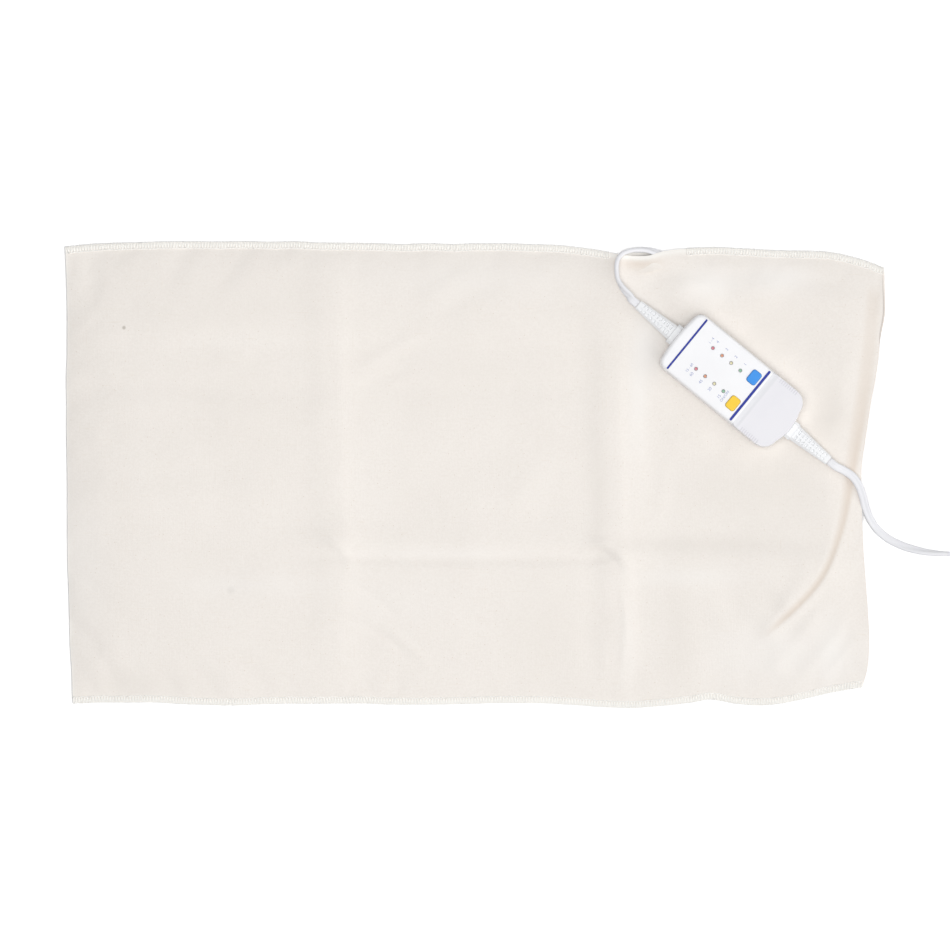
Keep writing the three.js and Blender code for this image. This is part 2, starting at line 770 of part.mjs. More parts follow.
function leadBlock() {
  const left = innerCentreX + innerLength / 2 + gap;
  const outline = roundedRectangle(blockLength, blockWidth, blockCornerRadius, smallCornerSteps);
  const body = plate(outline, shellBottomZ, shellBottomZ + blockHeight);
  body.translate(left + blockLength / 2, blockCentreY, 0);
  const noseX = left + blockLength / 2;
  const noseY = blockCentreY + blockWidth / 2;
  const nose = box(
    noseX - blockNoseWidth / 2, noseX + blockNoseWidth / 2,
    noseY - cutOverrun, noseY + blockNoseLength, shellBottomZ, shellBottomZ + cordThickness + gap,
  );
  return join([body, nose]);
}

// Controller case

// Plan of the case, inset all round: straight sides, bowed ends and round corners
function caseOutline(inset) {
  const halfWidth = caseWidth / 2 - inset;
  const end = (sign, bow, radius) => {
    const endX = caseLength / 2 - inset;
    const bowed = Math.max(radius - inset, gap);
    const shoulderX = endX - bow - bowed;
    const points = [];
    for (let i = 0; i <= cornerSteps; i += 1) {
      const angle = i / cornerSteps * Math.PI / 2;
      const x = shoulderX + bowed * Math.sin(angle);
      const y = halfWidth - bowed + bowed * Math.cos(angle);
      points.push(new THREE.Vector2(sign * x, y));
    }
    const flatHalf = halfWidth - bowed;
    for (let i = 1; i <= cornerSteps; i += 1) {
      const y = flatHalf * (1 - 2 * i / (cornerSteps + 1));
      points.push(new THREE.Vector2(sign * (endX - bow * (y / flatHalf) ** 2), y));
    }
    for (let i = cornerSteps; i >= 0; i -= 1) {
      const p = points[i];
      points.push(new THREE.Vector2(p.x, -p.y));
    }
    return points;
  };
  const mains = end(1, mainsEndBow, mainsCornerRadius);
  const lead = end(-1, leadEndBow, leadCornerRadius);
  return [...mains, ...lead.toReversed()];
}

function caseLoft(levels) {
  return loft(levels.map(([z, inset]) => caseOutline(inset).map((p) => new THREE.Vector3(p.x, p.y, z))));
}

// Levels of a rounded edge: height and inset from the fillet's start to its end
function filletLevels(z, radius, inset, upward) {
  return Array.from({ length: filletSteps + 1 }, (_, i) => {
    const angle = i / filletSteps * Math.PI / 2;
    const height = z + upward * radius * Math.sin(angle);
    return [height, inset + radius * (1 - Math.cos(angle))];
  });
}

function gripCut() {
  const profile = new THREE.Shape();
  const floor = caseHeight - gripDrop;
  profile.moveTo(gripStart, caseHeight);
  profile.lineTo(gripStart + gripBevel, floor);
  profile.lineTo(caseLength / 2 + cutOverrun, floor);
  profile.lineTo(caseLength / 2 + cutOverrun, caseHeight + cutOverrun);
  profile.lineTo(gripStart, caseHeight + cutOverrun);
  const depth = caseWidth + 2 * cutOverrun;
  const prism = new THREE.ExtrudeGeometry(profile, { depth, bevelEnabled: false });
  return prism.rotateX(Math.PI / 2).translate(0, caseWidth / 2 + cutOverrun, 0);
}

function gripNotches() {
  const floor = caseHeight - gripDrop;
  const notches = [];
  for (let i = 0; i < gripNotchCount; i += 1) {
    const x = gripNotchStart + i * gripNotchPitch;
    for (const side of [-1, 1]) {
      const inner = side * (caseWidth / 2 - gripNotchReach);
      const outer = side * (caseWidth / 2 + cutOverrun);
      notches.push(box(
        x, x + gripNotchWidth, Math.min(inner, outer), Math.max(inner, outer),
        floor - gripNotchDepth, floor + cutOverrun,
      ));
    }
  }
  return notches;
}

function barOutline(x, width, extra) {
  const outline = roundedRectangle(width + 2 * extra, barLength + 2 * extra, width / 2 + extra, barEndSteps);
  return outline.map((p) => new THREE.Vector2(p.x + x, p.y));
}

const keyPlaces = [{ colour: 'blue', y: keyY }, { colour: 'yellow', y: -keyY }];
const lightRows = [{ side: 'blue', y: lightRowY }, { side: 'yellow', y: -lightRowY }];

function lightX(index) {
  return lightFirstX + index * lightPitch;
}

// Opening for a strain relief's neck, cut through an end wall of both case halves
function reliefOpening(sign) {
  const halfWidth = reliefNeckWidth / 2 + gap;
  const halfHeight = reliefNeckHeight / 2 + gap;
  const inner = sign * (caseLength / 2 - caseWall - leadEndBow - mainsEndBow);
  const outer = sign * (caseLength / 2 + cutOverrun);
  return box(
    Math.min(inner, outer), Math.max(inner, outer), -halfWidth, halfWidth,
    reliefAxisZ - halfHeight, reliefAxisZ + halfHeight,
  );
}

function screwPlaces() {
  return [-screwX, screwX];
}

function topCase() {
  const bottom = caseBottomHeight + gap;
  const rounding = filletLevels(caseHeight - topEdgeRadius, topEdgeRadius, caseDraft, 1);
  const shell = caseLoft([[bottom, 0], ...rounding]);
  const hollow = cut(
    caseLoft([[bottom - cutOverrun, caseWall], [ceilingZ, caseWall + caseDraft]]),
    [box(
      gripStart - caseRoof, caseLength / 2, -caseWidth / 2, caseWidth / 2,
      ceilingZ - gripDrop, ceilingZ + cutOverrun,
    )],
  );
  const bosses = screwPlaces().map((x) => cylinder(bossDiameter, x, 0, boardTop + gap, ceilingZ));
  const pilots = screwPlaces().map((x) => cylinder(
    screwShankDiameter + 2 * gap, x, 0, boardTop - cutOverrun, boardTop + screwEngagement + 2 * gap,
  ));
  const keyHoles = keyPlaces.map(({ y }) => plate(
    roundedRectangle(keyLength + 2 * gap, keyWidth + 2 * gap, keyCornerRadius + gap, smallCornerSteps),
    ceilingZ - cutOverrun, caseHeight + cutOverrun,
  ).translate(keyX, y, 0));
  const lightHoles = lightRows.flatMap(({ y }) => Array.from({ length: lightCount }, (_, i) => cylinder(
    lightDiameter + 2 * gap, lightX(i), y, ceilingZ - cutOverrun, caseHeight + cutOverrun, smallSides,
  )));
  const bars = [[leadBarX, leadBarWidth], [mainsBarX, mainsBarWidth]].map(([x, width]) => plate(
    barOutline(x, width, barClearance), caseHeight - barDepth, caseHeight + cutOverrun,
  ));
  const openings = [reliefOpening(-1), reliefOpening(1), ...bars];
  const walls = cut(shell, [hollow, gripCut(), ...gripNotches(), ...openings]);
  return cut(join([walls, ...bosses]), [...pilots, ...keyHoles, ...lightHoles]);
}

function bottomCase() {
  const rounded = filletLevels(bottomEdgeRadius, bottomEdgeRadius, 0, -1).toReversed();
  const shell = caseLoft([...rounded, [caseBottomHeight, 0]]);
  const hollow = caseLoft([[caseFloor, caseWall + caseDraft], [caseBottomHeight + cutOverrun, caseWall]]);
  const bosses = screwPlaces().map((x) => cylinder(bossDiameter, x, 0, caseFloor / 2, boardUnderside - gap));
  const holes = screwPlaces().flatMap((x) => [
    cylinder(screwShankDiameter + 2 * gap, x, 0, -cutOverrun, boardUnderside + cutOverrun),
    cylinder(screwHeadDiameter + 2 * gap, x, 0, -cutOverrun, screwRecess + screwHeadHeight + gap),
  ]);
  const walls = cut(shell, [hollow, reliefOpening(-1), reliefOpening(1)]);
  return cut(join([walls, ...bosses]), holes);
}

function bar(x, width) {
  return plate(barOutline(x, width, 0), caseHeight - barDepth + barClearance, caseHeight + barProud);
}

function key() {
  const flangeTop = ceilingZ - gap;
  const flangeBottom = flangeTop - keyFlangeThickness;
  const top = caseHeight + keyProud;
  const outline = (inset) => roundedRectangle(
    keyLength - 2 * inset, keyWidth - 2 * inset, keyCornerRadius - inset / 2, smallCornerSteps,
  );
  const ring = (z, inset) => outline(inset).map((p) => new THREE.Vector3(p.x, p.y, z));
  return loft([
    ring(flangeBottom, -keyFlangeReach), ring(flangeTop, -keyFlangeReach), ring(flangeTop, 0),
    ring(top - keyCrown, 0), ring(top, keyCrown),
  ]);
}

function plunger() {
  const top = ceilingZ - 2 * gap - keyFlangeThickness;
  const bottom = boardTop + gap + plungerSeat;
  return cylinder(plungerDiameter, 0, 0, bottom, top, plungerRound);
}

function tactSwitch() {
  const z = boardTop + gap;
  const body = box(-switchSide / 2, switchSide / 2, -switchSide / 2, switchSide / 2, z, z + switchHeight);
  const bore = cylinder(
    plungerDiameter + 2 * gap, 0, 0,
    z + plungerSeat - keyTravel - gap, z + switchHeight + cutOverrun, plungerRound,
  );
  return cut(body, [bore]);
}

function light() {
  const foot = boardTop + gap;
  const shoulder = foot + lightFootHeight;
  const top = caseHeight + lightProud;
  const radius = lightDiameter / 2;
  const dome = Array.from({ length: domeSteps }, (_, i) => {
    const angle = (i + 1) / (domeSteps + 1) * Math.PI / 2;
    return [radius * Math.cos(angle), top - radius + radius * Math.sin(angle)];
  });
  return turned([
    [0, foot], [lightFootDiameter / 2, foot], [lightFootDiameter / 2, shoulder], [radius, shoulder],
    [radius, top - radius], ...dome, [0, top],
  ], smallSides);
}

function circuitBoard() {
  const board = box(
    -boardLength / 2, boardLength / 2, -boardWidth / 2, boardWidth / 2, boardUnderside, boardTop,
  );
  const holes = screwPlaces().map((x) => cylinder(
    screwShankDiameter + 2 * gap, x, 0, boardUnderside - cutOverrun, boardTop + cutOverrun,
  ));
  return cut(board, holes);
}

function blockOn(x, y, length, width, z0, z1) {
  return box(x - length / 2, x + length / 2, y - width / 2, y + width / 2, z0, z1);
}

function fuse() {
  const z = boardUnderside - gap - fuseDiameter / 2;
  const tube = new THREE.CylinderGeometry(fuseDiameter / 2, fuseDiameter / 2, fuseLength, smallSides);
  return tube.rotateZ(Math.PI / 2).translate(fuseX, fuseY, z);
}

function screw() {
  const head = screwRecess;
  const neck = head + screwHeadHeight;
  return turned([
    [0, head], [screwHeadDiameter / 2, head], [screwHeadDiameter / 2, neck],
    [screwShankDiameter / 2, neck], [screwShankDiameter / 2, boardTop + screwEngagement],
    [0, boardTop + screwEngagement],
  ], smallSides);
}

// Strain reliefs

// Ring across the relief's axis; depth sinks a slot between the spine and each rail, above and below
function reliefRing(x, width, height, depth = 0) {
  const spine = spineWidth / 2;
  const [rail, shoulder] = [width * reliefRailShares[0], height * reliefRailShares[1]];
  const quarter = [
    [spine, height / 2],
    [spine + slotBevel, height / 2 - depth],
    [rail - slotBevel, shoulder - depth],
    [rail, shoulder],
    [width * reliefFlankShares[0], height * reliefFlankShares[1]],
  ];
  const upper = [...quarter.toReversed(), ...quarter.map(([y, z]) => [-y, z])];
  const around = [...upper, ...upper.toReversed().map(([y, z]) => [y, -z])];
  return around.map(([y, z]) => new THREE.Vector3(x, y, z));
}

const reliefFlangeEnd = gap + reliefFlangeThickness;
const reliefTip = reliefFlangeEnd + reliefSleeveLength;

// Ring of the tapered sleeve at a distance from the case
function sleeveRing(x, depth = 0) {
  const share = (x - reliefFlangeEnd) / reliefSleeveLength;
  const width = THREE.MathUtils.lerp(reliefBaseWidth, reliefTipWidth, share);
  const height = THREE.MathUtils.lerp(reliefBaseHeight, reliefTipHeight, share);
  return reliefRing(x, width, height, depth * (1 - share * slotFadeShare));
}

// Relief that runs along +x, with x = 0 on the outside of the case's end wall
function strainRelief(bow, cornerRadius, flangeWidth) {
  const sag = bow * (reliefAnchorWidth / 2 / (caseWidth / 2 - cornerRadius)) ** 2;
  const anchor = -caseWall - caseDraft - gap - sag;
  const slots = Array.from({ length: slotCount }, (_, i) => {
    const x = reliefFlangeEnd + slotStart + i * slotPitch;
    return [
      sleeveRing(x), sleeveRing(x + slotBevel, slotDepth),
      sleeveRing(x + slotWidth - slotBevel, slotDepth), sleeveRing(x + slotWidth),
    ];
  });
  return loft([
    reliefRing(anchor - reliefAnchorThickness, reliefAnchorWidth, reliefAnchorHeight),
    reliefRing(anchor, reliefAnchorWidth, reliefAnchorHeight),
    reliefRing(anchor + slotBevel, reliefNeckWidth, reliefNeckHeight),
    reliefRing(gap, reliefNeckWidth, reliefNeckHeight),
    reliefRing(gap + slotBevel, flangeWidth, reliefFlangeHeight),
    reliefRing(reliefFlangeEnd - slotBevel, flangeWidth, reliefFlangeHeight),
    sleeveRing(reliefFlangeEnd), ...slots.flat(), sleeveRing(reliefTip),
  ], acrossLength);
}

// Cords

// Flat twin cord: two round cores with a waist between them
function cordSection(extra = 0) {
  const halfWidth = cordWidth / 2 + extra;
  const halfHeight = cordThickness / 2 + extra;
  const shoulder = halfWidth * cordShoulderShare;
  return [
    [halfWidth, 0], [shoulder, halfHeight], [0, halfHeight * cordWaistShare], [-shoulder, halfHeight],
    [-halfWidth, 0], [-shoulder, -halfHeight], [0, -halfHeight * cordWaistShare], [shoulder, -halfHeight],
  ].map(([x, y]) => new THREE.Vector2(x, y));
}

// Even stations along a smooth route, each a point and a roll in radians
function cordLine(route) {
  const points = route.map(([x, y, z]) => new THREE.Vector3(x, y, z));
  const curve = new THREE.CatmullRomCurve3(points, false, 'centripetal');
  const steps = Math.ceil(curve.getLength() / cordStep);
  const last = route.length - 1;
  return Array.from({ length: steps + 1 }, (_, i) => {
    const place = curve.getUtoTmapping(i / steps) * last;
    const before = Math.min(Math.floor(place), last - 1);
    const degrees = THREE.MathUtils.lerp(route[before][3], route[before + 1][3], place - before);
    return { point: curve.getPointAt(i / steps), roll: THREE.MathUtils.degToRad(degrees) };
  });
}

function cordGeometry(line, extra = 0) {
  return sweep(line.map(({ point }) => point), cordSection(extra), (i) => line[i].roll);
}

// Tip of a strain relief in the pad's frame, a distance beyond it
function beyondTip(sign, distance) {
  const along = sign * (caseLength / 2 + reliefTip + distance);
  const turnedAlong = new THREE.Vector3(along, 0, 0).applyAxisAngle(new THREE.Vector3(0, 0, 1), caseTurn);
  return [caseCentreX + turnedAlong.x, caseCentreY + turnedAlong.y, caseZ + reliefAxisZ, 0];
}

// Route points placed on the cover, from the corner that they are given from
const fromCorner = ([x, y, ...rest]) => [coverLength / 2 + x, coverWidth / 2 + y, ...rest];

function leadPoints() {
  const noseX = innerCentreX + innerLength / 2 + gap + blockLength / 2;
  const noseY = blockCentreY + blockWidth / 2 + blockNoseLength + gap;
  const z = shellBottomZ + cordThickness / 2;
  return [
    beyondTip(-1, gap), beyondTip(-1, gap + cordWidth), ...leadRoute.map(fromCorner),
    [noseX, noseY + cordWidth, z, 0], [noseX, noseY, z, 0],
  ];
}

function mainsPoints() {
  const y = coilCentreY + coilOuterRadius;
  const z = coilFloorGap + cordWidth / 2;
  return [
    beyondTip(1, gap), beyondTip(1, gap + cordWidth), ...mainsRoute.map(fromCorner),
    [coilCentreX - gap - cordWidth, y, z, 90], [coilCentreX - gap, y, z, 90],
  ];
}

// Centre line of the coil: it spirals in on the floor, climbs a layer and spirals out again,
// and its tail runs straight down to the plug
function coilPoints() {
  const count = Math.round(coilTurns * coilStepsPerTurn);
  const middle = coilTurns / 2;
  const floorZ = coilFloorGap + cordWidth / 2;
  const spiral = Array.from({ length: count + 1 }, (_, i) => {
    const turn = i / coilStepsPerTurn;
    const radius = coilOuterRadius - coilPitch * (middle - Math.abs(turn - middle));
    const climb = THREE.MathUtils.smoothstep(turn, middle - coilClimbTurns / 2, middle + coilClimbTurns / 2);
    const angle = Math.PI / 2 - turn * 2 * Math.PI;
    const x = coilCentreX + radius * Math.cos(angle);
    const y = coilCentreY + radius * Math.sin(angle);
    return new THREE.Vector3(x, y, floorZ + coilLayerRise * climb);
  });
  const tail = Array.from({ length: tailSteps }, (_, i) => {
    const share = (i + 1) / tailSteps;
    const fall = THREE.MathUtils.smoothstep(share, tailStartShare, tailEndShare);
    const z = THREE.MathUtils.lerp(floorZ + coilLayerRise, coilFloorGap + plugHeight / 2, fall);
    return new THREE.Vector3(coilCentreX + coilOuterRadius, coilCentreY - share * tailLength, z);
  });
  return [...spiral, ...tail];
}

const coilLine = coilPoints();
console.log(`least gap between the coil's turns: ${coilClearance(coilLine).toFixed(2)} mm`);

// The coiled cord stands on its narrow edge, so its section is taller than it is wide
function coilSection() {
  const side = cordThickness / 2;
  const shoulder = cordWidth * coilShoulderShare;
  const corners = [
    [side, -shoulder], [side, shoulder], [0, cordWidth / 2],
    [-side, shoulder], [-side, -shoulder], [0, -cordWidth / 2],
  ];
  return corners.map(([x, y]) => new THREE.Vector2(x, y));
}

// Least clearance between turns that are not neighbours along the cord. Each station is measured as
// two round cores, one above the other.
function coilClearance(points) {
  const coreOffset = (cordWidth - cordThickness) / 2;
  const cores = points.map((p) => [-coreOffset, coreOffset].map((z) => p.clone().setZ(p.z + z)));
  let least = Infinity;
  for (let i = 0; i < cores.length; i += 1) {
    for (let j = i + coilStepsPerTurn / 2; j < cores.length; j += 1) {
      for (const a of cores[i]) {
        for (const b of cores[j]) {
          least = Math.min(least, a.distanceTo(b) - cordThickness);
        }
      }
    }
  }
  return least;
}

// Plug, in its own frame: x runs along the cord to the blades, z = 0 on the plug's axis

function plugRing(x, width, height) {
  return Array.from({ length: plugSectionPoints }, (_, i) => {
    const angle = (i + 0.5) / plugSectionPoints * 2 * Math.PI;
    const round = (value) => Math.sign(value) * Math.abs(value) ** plugSectionPower;
    return new THREE.Vector3(x, width / 2 * round(Math.cos(angle)), height / 2 * round(Math.sin(angle)));
  });
}

const plugFace = plugNeckLength + plugLength;
const blades = [
  { name: 'plug_blade_narrow', y: bladeSpacing / 2, width: bladeWidth },
  { name: 'plug_blade_wide', y: -bladeSpacing / 2, width: wideBladeWidth },
];

function plugBody() {
  const body = loft([
    plugRing(0, plugNeckWidth - plugNeckTaper, plugNeckHeight - plugNeckTaper),
    plugRing(plugNeckLength, plugNeckWidth, plugNeckHeight),
    plugRing(plugNeckLength + plugShoulderLength, plugWidth * plugShoulderShare, plugHeight),
    plugRing(plugNeckLength + plugWaistLength, plugWidth * plugWaistShare, plugHeight),
    plugRing(plugFace - plugShoulderLength, plugWidth, plugHeight),
    plugRing(plugFace - plugFaceBevel, plugWidth, plugHeight),
    plugRing(plugFace, plugWidth - plugFaceBevel, plugHeight - plugFaceBevel),
  ], acrossLength);
  const seats = blades.map(({ y, width }) => box(
    plugFace - bladeSeat - gap, plugFace + cutOverrun,
    y - bladeThickness / 2 - gap, y + bladeThickness / 2 + gap, -width / 2 - gap, width / 2 + gap,
  ));
  return cut(body, seats);
}

function blade(y, width) {
  const strip = box(
    plugFace - bladeSeat, plugFace + bladeLength,
    y - bladeThickness / 2, y + bladeThickness / 2, -width / 2, width / 2,
  );
  const hole = new THREE.CylinderGeometry(
    bladeHoleDiameter / 2, bladeHoleDiameter / 2, bladeThickness + 2 * cutOverrun, smallSides,
  );
  return cut(strip, [hole.translate(plugFace + bladeLength * bladeHoleShare, y, 0)]);
}

// Assembly

const pad = new THREE.Group();
const controller = new THREE.Group();
controller.position.set(caseCentreX, caseCentreY, caseZ);
controller.rotation.z = caseTurn;

const leadLine = cordLine(leadPoints());
const rearmost = leadLine.reduce((best, { point }, i) => (point.y > leadLine[best].point.y ? i : best), 0);
const tunnelLine = leadLine.slice(rearmost)
  .filter(({ point }) => point.x < leadTunnelEndShare * coverLength / 2);
const leadTunnel = cordGeometry(tunnelLine, gap);
pad.add(node('flannel_cover', cut(coverBody(), [...coverPocket(), leadTunnel]), finishes.flannel));
pad.add(node('rear_seam_left', seam(rearEdge, true, -Infinity, leadGapStartShare), finishes.thread));
pad.add(node('rear_seam_right', seam(rearEdge, true, leadGapEndShare, Infinity), finishes.thread));
pad.add(node('front_seam', seam(frontEdge, false, -Infinity, Infinity), finishes.thread));

pad.add(node('inner_shell_bottom', innerLayer(shellBottomZ, shellThickness, 0), finishes.shell));
pad.add(node('element_carrier', innerLayer(carrierZ, carrierThickness, layerInset), finishes.carrier));
pad.add(node('heating_wire', heatingWire(), finishes.wire));
pad.add(node('felt_layer', feltLayer(), finishes.felt));
pad.add(node('inner_shell_top', innerLayer(shellTopZ, shellThickness, 0), finishes.shell));
thermostatPlaces.forEach(([x, y], i) => {
  pad.add(node(`thermostat_${i + 1}`, thermostat(x, y), finishes.thermostat));
});
pad.add(node('lead_entry_block', leadBlock(), finishes.plastic));
pad.add(node('lead_cord', cordGeometry(leadLine), finishes.cord));
pad.add(node('mains_cord', cordGeometry(cordLine(mainsPoints())), finishes.cord));
pad.add(node('mains_coil', sweep(coilLine, coilSection()), finishes.cord));

const plug = new THREE.Group();
plug.position.set(
  coilCentreX + coilOuterRadius,
  coilCentreY - tailLength - gap,
  coilFloorGap + plugHeight / 2,
);
plug.rotation.z = -Math.PI / 2;
plug.add(node('plug_body', plugBody(), finishes.cord));
for (const { name, y, width } of blades) {
  plug.add(node(name, blade(y, width), finishes.brass));
}
pad.add(plug);

controller.add(node('controller_top_case', topCase(), finishes.plastic));
controller.add(node('controller_bottom_case', bottomCase(), finishes.plastic));
controller.add(node('face_bar_lead', bar(leadBarX, leadBarWidth), finishes.navy));
controller.add(node('face_bar_mains', bar(mainsBarX, mainsBarWidth), finishes.navy));
for (const { colour, y } of keyPlaces) {
  const place = (mesh) => mesh.position.set(keyX, y, 0);
  const pieces = [
    node(`button_${colour}`, key(), finishes[`${colour}Key`]),
    node(`plunger_${colour}`, plunger(), finishes.black),
    node(`switch_${colour}`, tactSwitch(), finishes.black),
  ];
  pieces.forEach(place);
  controller.add(...pieces);
}
for (const { side, y } of lightRows) {
  for (let i = 0; i < lightCount; i += 1) {
    const lamp = node(`light_${side}_side_${i + 1}`, light(), lampFinishes[i]);
    lamp.position.set(lightX(i), y, 0);
    controller.add(lamp);
  }
}
controller.add(node('circuit_board', circuitBoard(), finishes.board));
controller.add(node(
  'controller_chip',
  blockOn(chipX, 0, chipLength, chipWidth, boardTop + gap, boardTop + gap + chipHeight),
  finishes.black,
));
const underBoard = boardUnderside - gap;
controller.add(node(
  'film_capacitor',
  blockOn(capacitorX, capacitorY, capacitorLength, capacitorWidth, underBoard - capacitorHeight, underBoard),
  finishes.capacitor,
));
controller.add(node(
  'power_triac', blockOn(triacX, triacY, triacLength, triacWidth, underBoard - triacHeight, underBoard),
  finishes.black,
));
controller.add(node('board_fuse', fuse(), finishes.glass));
for (const [name, sign] of [['lead', -1], ['mains', 1]]) {
  const x = sign * (boardLength / 2 - terminalLength / 2);
  controller.add(node(
    `${name}_terminals`,
    blockOn(x, 0, terminalLength, terminalWidth, underBoard - terminalHeight, underBoard),
    finishes.black,
  ));
  const relief = node(
    `${name}_strain_relief`,
    sign > 0
      ? strainRelief(mainsEndBow, mainsCornerRadius, mainsFlangeWidth)
      : strainRelief(leadEndBow, leadCornerRadius, leadFlangeWidth),
    finishes.cord,
  );
  relief.position.set(sign * caseLength / 2, 0, reliefAxisZ);
  relief.rotation.z = sign > 0 ? 0 : Math.PI;
  controller.add(relief);
}
screwPlaces().forEach((x, i) => {
  const piece = node(`case_screw_${i + 1}`, screw(), finishes.steel);
  piece.position.x = x;
  controller.add(piece);
});
pad.add(controller);

export default pad;
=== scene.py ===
"""Looks of a flannel heating pad with its hand controller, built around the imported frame.

Every length is in metres, +Z is up, and the pad lies flat on z = 0 with its length along X.
"""

import math

import bmesh
import bpy
import numpy as np
from mathutils import Matrix, Vector
from mathutils.bvhtree import BVHTree


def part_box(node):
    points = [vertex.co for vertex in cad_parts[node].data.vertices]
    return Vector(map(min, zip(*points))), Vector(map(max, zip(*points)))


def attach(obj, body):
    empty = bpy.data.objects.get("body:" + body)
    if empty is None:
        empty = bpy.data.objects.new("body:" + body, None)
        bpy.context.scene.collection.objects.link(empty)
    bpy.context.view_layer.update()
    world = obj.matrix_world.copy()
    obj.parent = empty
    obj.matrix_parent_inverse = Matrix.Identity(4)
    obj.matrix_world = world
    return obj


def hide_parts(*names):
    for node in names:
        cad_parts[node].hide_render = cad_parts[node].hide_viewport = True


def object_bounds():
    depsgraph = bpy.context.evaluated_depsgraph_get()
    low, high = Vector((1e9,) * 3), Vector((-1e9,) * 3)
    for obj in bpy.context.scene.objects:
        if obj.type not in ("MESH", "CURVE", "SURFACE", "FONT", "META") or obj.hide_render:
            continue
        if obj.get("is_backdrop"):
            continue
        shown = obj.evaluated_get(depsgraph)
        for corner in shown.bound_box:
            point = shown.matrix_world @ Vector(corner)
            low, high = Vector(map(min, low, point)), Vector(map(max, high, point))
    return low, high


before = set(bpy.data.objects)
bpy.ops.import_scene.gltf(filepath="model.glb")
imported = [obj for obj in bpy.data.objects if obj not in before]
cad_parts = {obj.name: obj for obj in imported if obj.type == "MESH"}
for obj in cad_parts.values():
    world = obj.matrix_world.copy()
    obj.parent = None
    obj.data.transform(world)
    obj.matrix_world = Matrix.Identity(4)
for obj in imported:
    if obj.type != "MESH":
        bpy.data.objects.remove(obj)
cad_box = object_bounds()

# Camera and view
CAMERA_HEIGHT = 8.0
VIEW_WIDTH = 0.7994
VIEW_LEVEL = 0.01
SENSOR_MM = 36.0
CAMERA_Y = -0.0004

# Cover, as in the part
COVER_LENGTH = 0.69
COVER_WIDTH = 0.392
CLOTH = 0.001
EDGE_LIFT = 0.001
EDGE_TOP = 0.0032
PAD_TOP = 0.0096
PLUMPNESS = 0.0005
MOUTH_TOP = 0.0078
SEAM_WIDTH = 0.0053
SEAM_BAND = 0.0056
FOLD_BAND = 0.0026
# How strongly painted light lifts the shade along the plain fold's edge
FOLD_PAINTED_LIGHT = 0.75
EDGE_RISE = 0.03
MOUTH_RISE = 0.034
REAR_EDGE_SHARES = [
    (-1, 0.977), (-0.915, 0.992), (-0.617, 1), (-0.402, 0.997), (-0.183, 0.99), (0.027, 0.99),
    (0.188, 0.985), (0.295, 0.965), (0.345, 0.95), (0.38, 0.942), (0.42, 0.942), (0.46, 0.958),
    (0.549, 0.974), (0.724, 0.964), (0.866, 0.953), (0.939, 0.925), (1, 0.887),
]
FRONT_EDGE_SHARES = [
    (-0.981, -0.982), (-0.793, -0.978), (-0.617, -0.991), (-0.427, -0.984), (-0.134, -0.986),
    (0.134, -0.982), (0.402, -1), (0.524, -0.98), (0.573, -0.965), (0.634, -0.982), (0.695, -0.991),
    (0.778, -0.973), (0.886, -0.931), (0.946, -0.913),
]
LEFT_FOLD_SHARES = [
    (-0.981, -0.982), (-0.984, -0.865), (-0.99, -0.624), (-0.995, -0.169), (-0.998, 0.32),
    (-0.995, 0.749), (-1, 0.977),
]
MOUTH_EDGE_SHARES = [
    (0.946, -0.913), (0.959, -0.818), (0.961, -0.711), (0.949, -0.324), (0.944, 0.019),
    (0.959, 0.217), (0.981, 0.448), (0.988, 0.556), (1, 0.681), (1, 0.887),
]
LEAD_GAP_X = (0.114, 0.16, 0.178)
LEAD_COVERED_X = 0.15
TUCK_CLEARANCE = 0.0004
TUCK_SLOPE = 0.14
TUCK_BLEND = 0.001
UNDER_LEAD_X = (0.122, 0.13, 0.146, 0.153)
UNDER_LEAD_REACH = 0.003
EDGE_ANGLE = math.radians(50)
LEAD_GAP_DEPTH = 0.014
LEAD_GAP_LEAST = 0.0002
LEAD_GAP_SHARES = (0.1, 0.5)
UNDER_LEAD_SHARES = (0.96, 1)
LIP_BACK = 0.0022
LIP_SHARES = (0.8, 0.86)
LIP_MOUTH_SHARES = (0.985, 1)
LIFT_REACH = 0.02
LEAST_GAP = 0.0001
SIDE_CLOTH = 0.0009
SIDE_SHARES = (0.2, 0.4, 0.6, 0.8)
SEAM_FADE_SHARES = (0.55, 1.05)
EDGE_STEPS = 40
LINE_STEPS = 16
LINE_POINTS = 60
LAYER_CLEARANCE = 0.0004
COLUMNS = 300
ROWS = 172
INNER_STRIDE = 3
PLACE_ROUNDS = 4
SETTLE_COLUMNS = 150
SETTLE_ROWS = 88
SETTLE_FRAMES = 16
SETTLE_CAP = 0.0012
SETTLE_SHARE = 0.45
SETTLE_CASE_MARGIN = 0.006
SETTLE_CLOTH = {
    "vertex_group_mass": "held", "quality": 6, "mass": 0.2, "tension_stiffness": 20,
    "compression_stiffness": 20, "bending_stiffness": 0.6, "shrink_min": -0.0025, "use_pressure": True,
    "uniform_pressure_force": 0.6,
}

# Inner pad, as in the part: clearances from the cover's fold, mouth and sides, and layer heights
INNER_LENGTH = 0.62
INNER_WIDTH = 0.33
INNER_CENTRE_X = -0.0125
INNER_CORNER = 0.014
LAYER_INSET = 0.006
SHELL_THICKNESS = 0.0006
SHELL_TOP = 0.0083
SHELL_WELD = 0.0026
FELT_THICKNESS = 0.0018
FELT_TOP = 0.0074
FELT_LOWEST = 0.0031
FELT_OVER_WIRE = 0.0054
FELT_LEAST = 0.0003
WELD_SLOPE = 0.45
WIRE_MARGIN = 0.018
WINDOW_MARGIN = 0.006
THERMOSTATS = ("thermostat_1", "thermostat_2", "thermostat_3")

